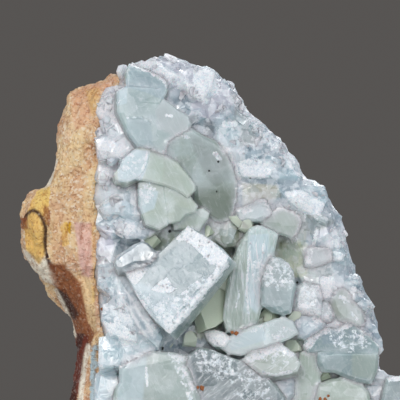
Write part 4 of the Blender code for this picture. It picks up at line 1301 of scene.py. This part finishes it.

# %% [markdown]
# The surface of every crystal is built in the same order, so it is one group too. Over the milky
# colour come the painted facets with their painted light and shade, the mottle of the broken vein
# and the growth streaks. Last comes everything pale: frost, worn edges, the painted light that
# fills the joints and the painted glow of thin places, whichever is strongest. Where the frost is,
# the surface is also rougher and grainy. Loose flakes have a simpler surface, between clear and
# white.

# %% Surfaces
def baryte_surface_group():
    """The surface of milky baryte: its colour, its roughness and its fine height."""
    group, start, end = new_group(
        "baryte_surface",
        [("Body", "NodeSocketColor", WHITE), ("Deep", "NodeSocketColor", WHITE),
         ("Veils", "NodeSocketFloat", 0.35), ("Worn", "NodeSocketFloat", 0.3),
         ("Mottle", "NodeSocketFloat", 0.0), ("Streaks", "NodeSocketFloat", 0.15),
         ("Lean", "NodeSocketVector", (0, 0, 0)), ("Thin", "NodeSocketFloat", 0.35)],
        [("Color", "NodeSocketColor"), ("Roughness", "NodeSocketFloat"),
         ("Height", "NodeSocketFloat")])
    given = start.outputs
    colour = use_group(group, milky_crystal, Body=given["Body"], Deep=given["Deep"],
                       Veils=given["Veils"])["Color"]
    colour = blend(group, read(group, "stain_light_and_shade", "Alpha"), colour, read(group, "stain_light_and_shade", "Color"))
    vector = bent(group, 700.0, 0.0008)
    spots = cells(group, vector, 420.0)
    flecks = cells(group, vector, 1150.0)
    colour = blend(group, ramp(group, spots, 0.45, 1.0, 0.0, given["Mottle"]), colour, WHITE)
    bluish = calc(group, "MULTIPLY", given["Mottle"], 0.8)
    colour = blend(group, ramp(group, spots, 0.35, 0.0, 0.0, bluish), colour,
                   (*PALETTE["blue"], 1))
    colour = blend(group, ramp(group, flecks, 0.55, 1.0, 0.0, given["Mottle"]), colour, WHITE)
    lines = use_group(group, growth_streaks, Turn=given["Lean"])["Mask"]
    lines = calc(group, "MULTIPLY", lines, given["Streaks"])
    colour = blend(group, lines, colour, WHITE)
    frost = use_group(group, angular_chips, Mask=read(group, "frost"))["Mask"]
    edge = use_group(group, angular_chips, Mask=read(group, "edge"), Scale=500.0,
                     Soft=0.25)["Mask"]
    uneven = ramp(group, noise(group, vector, 260.0, 3), 0.40, 0.62)
    edge = calc(group, "MULTIPLY", calc(group, "MULTIPLY", edge, uneven), given["Worn"])
    # Painted light: the crease along a contact is made pale, as light through the stone would fill
    # its shade.
    joint_light = calc(group, "MULTIPLY", read(group, "contact"), 0.8)
    # Painted light: thin places near a keen edge glow pale, as light through the stone would make
    # them.
    glow = calc(group, "MULTIPLY", read(group, "thin"), given["Thin"])
    pale = calc(group, "MAXIMUM", calc(group, "MAXIMUM", frost, edge),
                calc(group, "MAXIMUM", joint_light, glow))
    grit = noise(group, vector, 2000.0, 4, 0.7)
    snow = blend(group, ramp(group, grit, 0.35, 0.60), (*shade(216, 225, 232), 1),
                 (*shade(250, 252, 254), 1))
    group.links.new(blend(group, pale, colour, snow), end.inputs["Color"])
    grain = noise(group, vector, 900.0, 3, 0.6)
    rough = ramp(group, frost, 0.0, 1.0, 0.16, 0.36)
    group.links.new(calc(group, "ADD", rough, calc(group, "MULTIPLY", grain, 0.12)),
                    end.inputs["Roughness"])
    height = calc(group, "ADD", calc(group, "MULTIPLY", grain, 0.30),
                  calc(group, "MULTIPLY", grit, frost))
    group.links.new(calc(group, "ADD", height, lines), end.inputs["Height"])
    return group


def flake_surface_group():
    """The surface of a loose flake, between clear and white as its tone says."""
    group, start, end = new_group(
        "flake_surface",
        [("Clear", "NodeSocketColor", WHITE), ("White", "NodeSocketColor", WHITE)],
        [("Color", "NodeSocketColor"), ("Roughness", "NodeSocketFloat"),
         ("Height", "NodeSocketFloat")])
    tone = read(group, "tone")
    place_node = group.nodes.new("ShaderNodeTexCoord")
    grit = noise(group, place_node.outputs["Object"], 2200.0, 4, 0.7)
    colour = blend(group, tone, start.outputs["Clear"], start.outputs["White"])
    group.links.new(colour, end.inputs["Color"])
    group.links.new(ramp(group, tone, 0.0, 1.0, 0.20, 0.45), end.inputs["Roughness"])
    group.links.new(grit, end.inputs["Height"])
    return group


baryte_surface = baryte_surface_group()
flake_surface = flake_surface_group()
print("surfaces:", baryte_surface.name, flake_surface.name)

# %% [markdown]
# Baryte is heavy, glassy and milky. Light enters it, scatters and comes out some millimetres
# away, which subsurface scattering does; clear glass would show the rock behind it. A thin coat
# gives the wet glints of fresh faces. What varies over a piece comes out of its surface group,
# and what is the same everywhere stands on the shader itself. The rock is opaque and has a
# surface of its own.

# %% Finishes
BARYTE_IOR = 1.64
SCATTERED = (0.9, 1.05, 1.0)


def plain(name, colour, roughness):
    """A simple finish."""
    made = bpy.data.materials.new(name)
    made.use_nodes = True
    shader = made.node_tree.nodes["Principled BSDF"]
    shader.inputs["Base Color"].default_value = (*colour, 1)
    shader.inputs["Roughness"].default_value = roughness
    return made


def bumped(tree, height, distance, strength, shader):
    """Let a height tilt the surface a little."""
    bump = tree.nodes.new("ShaderNodeBump")
    bump.inputs["Distance"].default_value = distance
    bump.inputs["Strength"].default_value = strength
    tree.links.new(height, bump.inputs["Height"])
    tree.links.new(bump.outputs["Normal"], shader.inputs["Normal"])


def stone(name, group, looks, bump, milk):
    """A translucent finish with one of the surfaces, and how strongly it is bumped and milky."""
    made = plain(name, PALETTE["white"], 0.3)
    tree = made.node_tree
    shader = tree.nodes["Principled BSDF"]
    surface = use_group(tree, group, **looks)
    tree.links.new(surface["Color"], shader.inputs["Base Color"])
    tree.links.new(surface["Roughness"], shader.inputs["Roughness"])
    bumped(tree, surface["Height"], *bump, shader)
    shader.inputs["IOR"].default_value = BARYTE_IOR
    shader.inputs["Subsurface Weight"].default_value = milk[0]
    shader.inputs["Subsurface Radius"].default_value = SCATTERED
    shader.inputs["Subsurface Scale"].default_value = milk[1]
    return made


def baryte(name, body, deep, **looks):
    """Milky baryte: translucent and glassy, with white patches where it is frosted."""
    looks.update(Body=(*shade(*body), 1), Deep=(*shade(*deep), 1))
    made = stone(name, baryte_surface, looks, bump=(0.0002, 0.6), milk=(1.0, 0.0045))
    shader = made.node_tree.nodes["Principled BSDF"]
    shader.inputs["Coat Weight"].default_value = 0.35
    shader.inputs["Coat Roughness"].default_value = 0.08
    return made


def loose_baryte(name, clear, white):
    """Loose flakes, which are thin and have no coat."""
    looks = {"Clear": (*clear, 1), "White": (*white, 1)}
    return stone(name, flake_surface, looks, bump=(0.00015, 0.5), milk=(0.8, 0.002))


def iron_stained_rock(name):
    """Granular rock, streaked upright, with its painted zones and pale grains."""
    made = plain(name, PALETTE["tan"], 0.8)
    tree = made.node_tree
    shader = tree.nodes["Principled BSDF"]
    vector = bent(tree, 500.0, 0.001)
    turn = tree.nodes.new("ShaderNodeMapping")
    turn.inputs["Scale"].default_value = (1, 1, 0.25)
    tree.links.new(vector, turn.inputs["Vector"])
    streaks = noise(tree, turn.outputs["Vector"], 800.0, 6, 0.7)
    colour = blend(tree, ramp(tree, noise(tree, vector, 140.0, 4), 0.35, 0.65),
                   (*PALETTE["tan"], 1), (*shade(216, 172, 134), 1))
    broad = noise(tree, vector, 60.0, 5, 0.65)
    colour = blend(tree, ramp(tree, broad, 0.54, 0.68, 0.0, 0.25), colour,
                   (*PALETTE["rose"], 1))
    colour = blend(tree, ramp(tree, broad, 0.44, 0.32, 0.0, 0.2), colour,
                   (*PALETTE["rust"], 1))
    cover = read(tree, "stain_light_and_shade", "Alpha")
    ragged = calc(tree, "MULTIPLY", noise(tree, vector, 420.0, 6, 0.7),
                  calc(tree, "SUBTRACT", 1.0, cover))
    kept = calc(tree, "SUBTRACT", cover, calc(tree, "MULTIPLY", ragged, 1.1))
    cover = ramp(tree, kept, 0.0, 0.75)
    colour = blend(tree, cover, colour, read(tree, "stain_light_and_shade", "Color"))
    colour = blend(tree, ramp(tree, streaks, 0.50, 0.68, 0.0, 0.55), colour,
                   (*shade(190, 140, 104), 1), "MULTIPLY")
    grains = cells(tree, vector, 2100.0)
    bare = calc(tree, "SUBTRACT", 1.0, calc(tree, "MULTIPLY", cover, 0.8))
    light = calc(tree, "MULTIPLY", ramp(tree, grains, 0.72, 0.95, 0.0, 0.5), bare)
    colour = blend(tree, light, colour, (*PALETTE["cream"], 1))
    colour = blend(tree, ramp(tree, grains, 0.28, 0.05, 0.0, 0.45), colour,
                   (*shade(176, 120, 84), 1), "MULTIPLY")
    tree.links.new(colour, shader.inputs["Base Color"])
    tree.links.new(ramp(tree, grains, 0.80, 0.95, 0.8, 0.35), shader.inputs["Roughness"])
    height = calc(tree, "ADD", calc(tree, "MULTIPLY", grains, 0.6), streaks)
    bumped(tree, height, 0.0003, 0.6, shader)
    return made


def dress(piece, finish):
    """Give a piece its material."""
    piece.data.materials.clear()
    piece.data.materials.append(finish)


print("index of refraction of baryte:", BARYTE_IOR)

# %% [markdown]
# A crystal's facets differ a little in colour, partly because one looks deeper into the stone
# through some of them, and partly as painted light and shade: a facet that turns to the lamps is
# painted paler, and one that turns away or lies under an overhang darker. The larger ones are
# painted as flat patches with a firm edge, in the order in which they lie over each other.

# %% Facets, with painted light and shade
FACET_TINTS_LIGHT_AND_SHADE = {
    "upper_blade_stack": [
        # Painted shade: the first dusk patch darkens the top facet of the upper blades.
        patch("dusk", [(131, 64), (154, 76), (166, 86), (163, 100), (147, 93), (127, 88)], 1.5,
              0.6),
        patch("pearl", [(166, 101), (190, 120), (176, 135), (160, 128), (158, 112)], 4, 0.7),
        patch("dusk", [(128, 119), (142, 118), (151, 124), (153, 146), (138, 147), (128, 137)],
              1.5, 0.35),
        patch("pale_blue", [(117, 84), (127, 80), (127, 104), (118, 106)], 1.5, 0.5)],
    "grey_green_blade": [
        # Painted shade: the smoke patch darkens the blade's right side and the fog patch its foot.
        patch("smoke", [(192, 137), (208, 141), (222, 156), (228, 178), (214, 184), (202, 164)],
              5, 0.6),
        patch("fog", [(198, 200), (222, 194), (232, 208), (228, 222), (207, 218)], 20, 0.95)],
    "middle_fan_tablets": [
        patch("pale_blue", [(118, 160), (130, 150), (150, 152), (148, 164), (142, 180),
                            (120, 182)], 1.5, 0.8),
        patch("sea", [(150, 152), (164, 158), (162, 182), (146, 180)], 1.2, 0.4),
        patch("sage", [(165, 160), (196, 186), (192, 194), (166, 184)], 1.5, 0.4),
        patch("pale_blue", [(124, 188), (158, 192), (154, 208), (140, 214), (124, 206)], 2, 0.7),
        patch("sage", [(176, 206), (197, 212), (194, 226), (176, 222)], 2, 0.6)],
    "striated_prism": [
        patch("sage", [(232, 236), (247, 230), (244, 290), (240, 326), (226, 322)], 2, 0.75),
        patch("pale_blue", [(250, 236), (268, 234), (262, 290), (256, 312), (246, 300)], 2, 0.7),
        patch("sage", [(232, 312), (258, 314), (250, 330), (232, 330)], 5, 0.6)],
    "round_tablet": [
        patch("pearl", [(262, 258), (290, 262), (292, 284), (262, 284)], 4, 0.6)],
    "leaf_tablet": [
        patch("steel", [(117, 260), (130, 248), (143, 243), (149, 249), (134, 262)], 3, 0.5)],
    "great_tablet": [
        patch("pale_blue", [(128, 280), (150, 288), (180, 300), (164, 326), (140, 300)], 5, 0.5),
        # Painted shadow: the smoke patch is the tablet's top edge under the fan's overhang.
        patch("smoke", [(144, 254), (176, 232), (182, 238), (156, 258)], 5, 0.5)],
    "slanting_bar": [
        patch("pale_blue", [(226, 338), (262, 326), (264, 338), (232, 348)], 2, 0.6),
        patch("pearl", [(268, 322), (296, 318), (298, 332), (272, 338)], 3, 0.6)],
    "blue_block": [
        patch("steel", [(320, 328), (342, 330), (340, 342), (322, 342)], 2, 0.6),
        patch("steel", [(348, 330), (360, 332), (360, 340), (348, 338)], 2, 0.5),
        patch("sage", [(352, 354), (378, 354), (376, 376), (352, 374)], 3, 0.6)],
    "broad_lower_tablet": [
        patch("pale_blue", [(120, 352), (146, 356), (142, 400), (120, 400)], 3, 0.5)],
}
print("painted facets:", sum(map(len, FACET_TINTS_LIGHT_AND_SHADE.values())))

# %% [markdown]
# Every crystal has its own tint, between the blue of the upper ones and the green of the lower
# ones. Of its two colours the first is the body and the second its clouds. The parts that lie
# deep in the hollow are painted a little more olive, most where they look aside: partly the green
# of thick crystal, partly painted shade of the recess. The streaks are strongest on the striated
# prism and the wedge, and lean by some degrees.

# %% Crystal finishes
TINTS = {
    "great_tablet": ((134, 156, 162), (118, 141, 149), "frosted_baryte"),
    "leaf_tablet": ((128, 137, 145), (110, 122, 127), "blue_baryte"),
    "broad_lower_tablet": ((176, 189, 185), (160, 174, 167), "green_baryte"),
    "frosted_block": ((128, 140, 143), (110, 122, 125), "frosted_baryte"),
    "wedge_crystal": ((188, 198, 192), (160, 170, 160), "frosted_baryte"),
    "slanting_bar": ((218, 230, 230), (200, 215, 212), "blue_baryte"),
    "middle_fan_tablets": ((192, 203, 196), (172, 184, 168), "green_baryte"),
    "upper_blade_stack": ((177, 192, 190), (158, 176, 177), "blue_baryte"),
    "grey_green_blade": ((184, 198, 196), (158, 171, 162), "green_baryte"),
    "round_tablet": ((144, 163, 164), (128, 147, 149), "frosted_baryte"),
    "striated_prism": ((192, 208, 209), (178, 194, 184), "blue_baryte"),
    "tall_prism": ((190, 202, 194), (168, 182, 168), "green_baryte"),
    "blue_block": ((151, 168, 170), (133, 153, 155), "blue_baryte"),
    "bottom_oval_tablet": ((190, 200, 192), (164, 176, 164), "green_baryte"),
    "corner_blade": ((140, 155, 156), (120, 135, 136), "blue_baryte"),
    "white_knobs": ((195, 199, 202), (172, 178, 181), "frosted_baryte"),
    "grey_oval_tablet": ((182, 190, 188), (160, 168, 158), "green_baryte"),
    "small_bar_tablet": ((192, 205, 207), (176, 190, 190), "blue_baryte"),
    "hanging_tablet": ((192, 203, 198), (172, 184, 174), "blue_baryte"),
    "box_crystal": ((206, 210, 213), (190, 196, 198), "blue_baryte"),
}
STREAKED = {"striated_prism": (0.9, 7), "wedge_crystal": (0.7, -55), "slanting_bar": (0.3, 70),
            "great_tablet": (0.25, 38), "frosted_block": (0.5, -50), "tall_prism": (0.4, 0)}
USUAL_STREAKS = (0.15, 25)
DEEP_TINT_AND_SHADE = 0.0075
TINT_AND_SHADE_ASIDE = 0.9
MOST_TINT_AND_SHADE = 0.6
for node, (body, deep, slot) in TINTS.items():
    piece = crystals[node]
    # Painted shade, partly the green of thick crystal: moss grows with depth and where a face
    # looks aside.
    depth = points_of(piece)[:, 1]
    facing = np.array([-vertex.normal.y for vertex in piece.data.vertices])
    share = np.clip((depth - depth.min()) / DEEP_TINT_AND_SHADE, 0, 1)
    share *= np.clip(TINT_AND_SHADE_ASIDE - facing, 0, MOST_TINT_AND_SHADE)
    colour = np.ones((len(depth), 4)) * (*PALETTE["moss"], 1)
    colour[:, 3] = share
    stain_light_and_shade(piece, FACET_TINTS_LIGHT_AND_SHADE.get(node, []), colour)
    strength, lean = STREAKED.get(node, USUAL_STREAKS)
    dress(piece, baryte(node + "_baryte", body, deep, Streaks=strength,
                        Lean=(0, math.radians(lean), 0)))
print("tinted crystals:", len(TINTS))

# %% [markdown]
# The vein is the same mineral, but mottled, because every small face of broken cleavage catches
# another part of the stone. It has no worn edges, as its whole surface is broken. The flakes and
# crumbs share one finish, and the crystals in the gaps are greener and darker, as the hollow is:
# partly the green of its crystals, partly painted shade.

# %% Vein, flake and rock finishes
dress(crust, baryte("vein_baryte", (180, 191, 199), (152, 169, 179), Veils=0.40, Worn=0.0,
                    Mottle=0.45, Thin=0.0))
flake_finish = loose_baryte("flake_baryte", shade(214, 221, 229), PALETTE["white"])
dress(flakes, flake_finish)
dress(gap_crystals, loose_baryte("gap_baryte", shade(186, 196, 174), shade(212, 220, 202)))
dress(crumbs, flake_finish)
dress(grains, loose_baryte("grain_baryte", PALETTE["pale_blue"], PALETTE["white"]))
dress(rock, iron_stained_rock("iron_stained_rock"))
dress(dark_specks, plain("sulphide", PALETTE["black"], 0.4))
dress(rusty_specks, plain("iron_oxide", PALETTE["rust"], 0.7))
floor.data.materials.append(plain("pale_floor", shade(222, 220, 215), 0.6))
print("finishes:", len(bpy.data.materials))
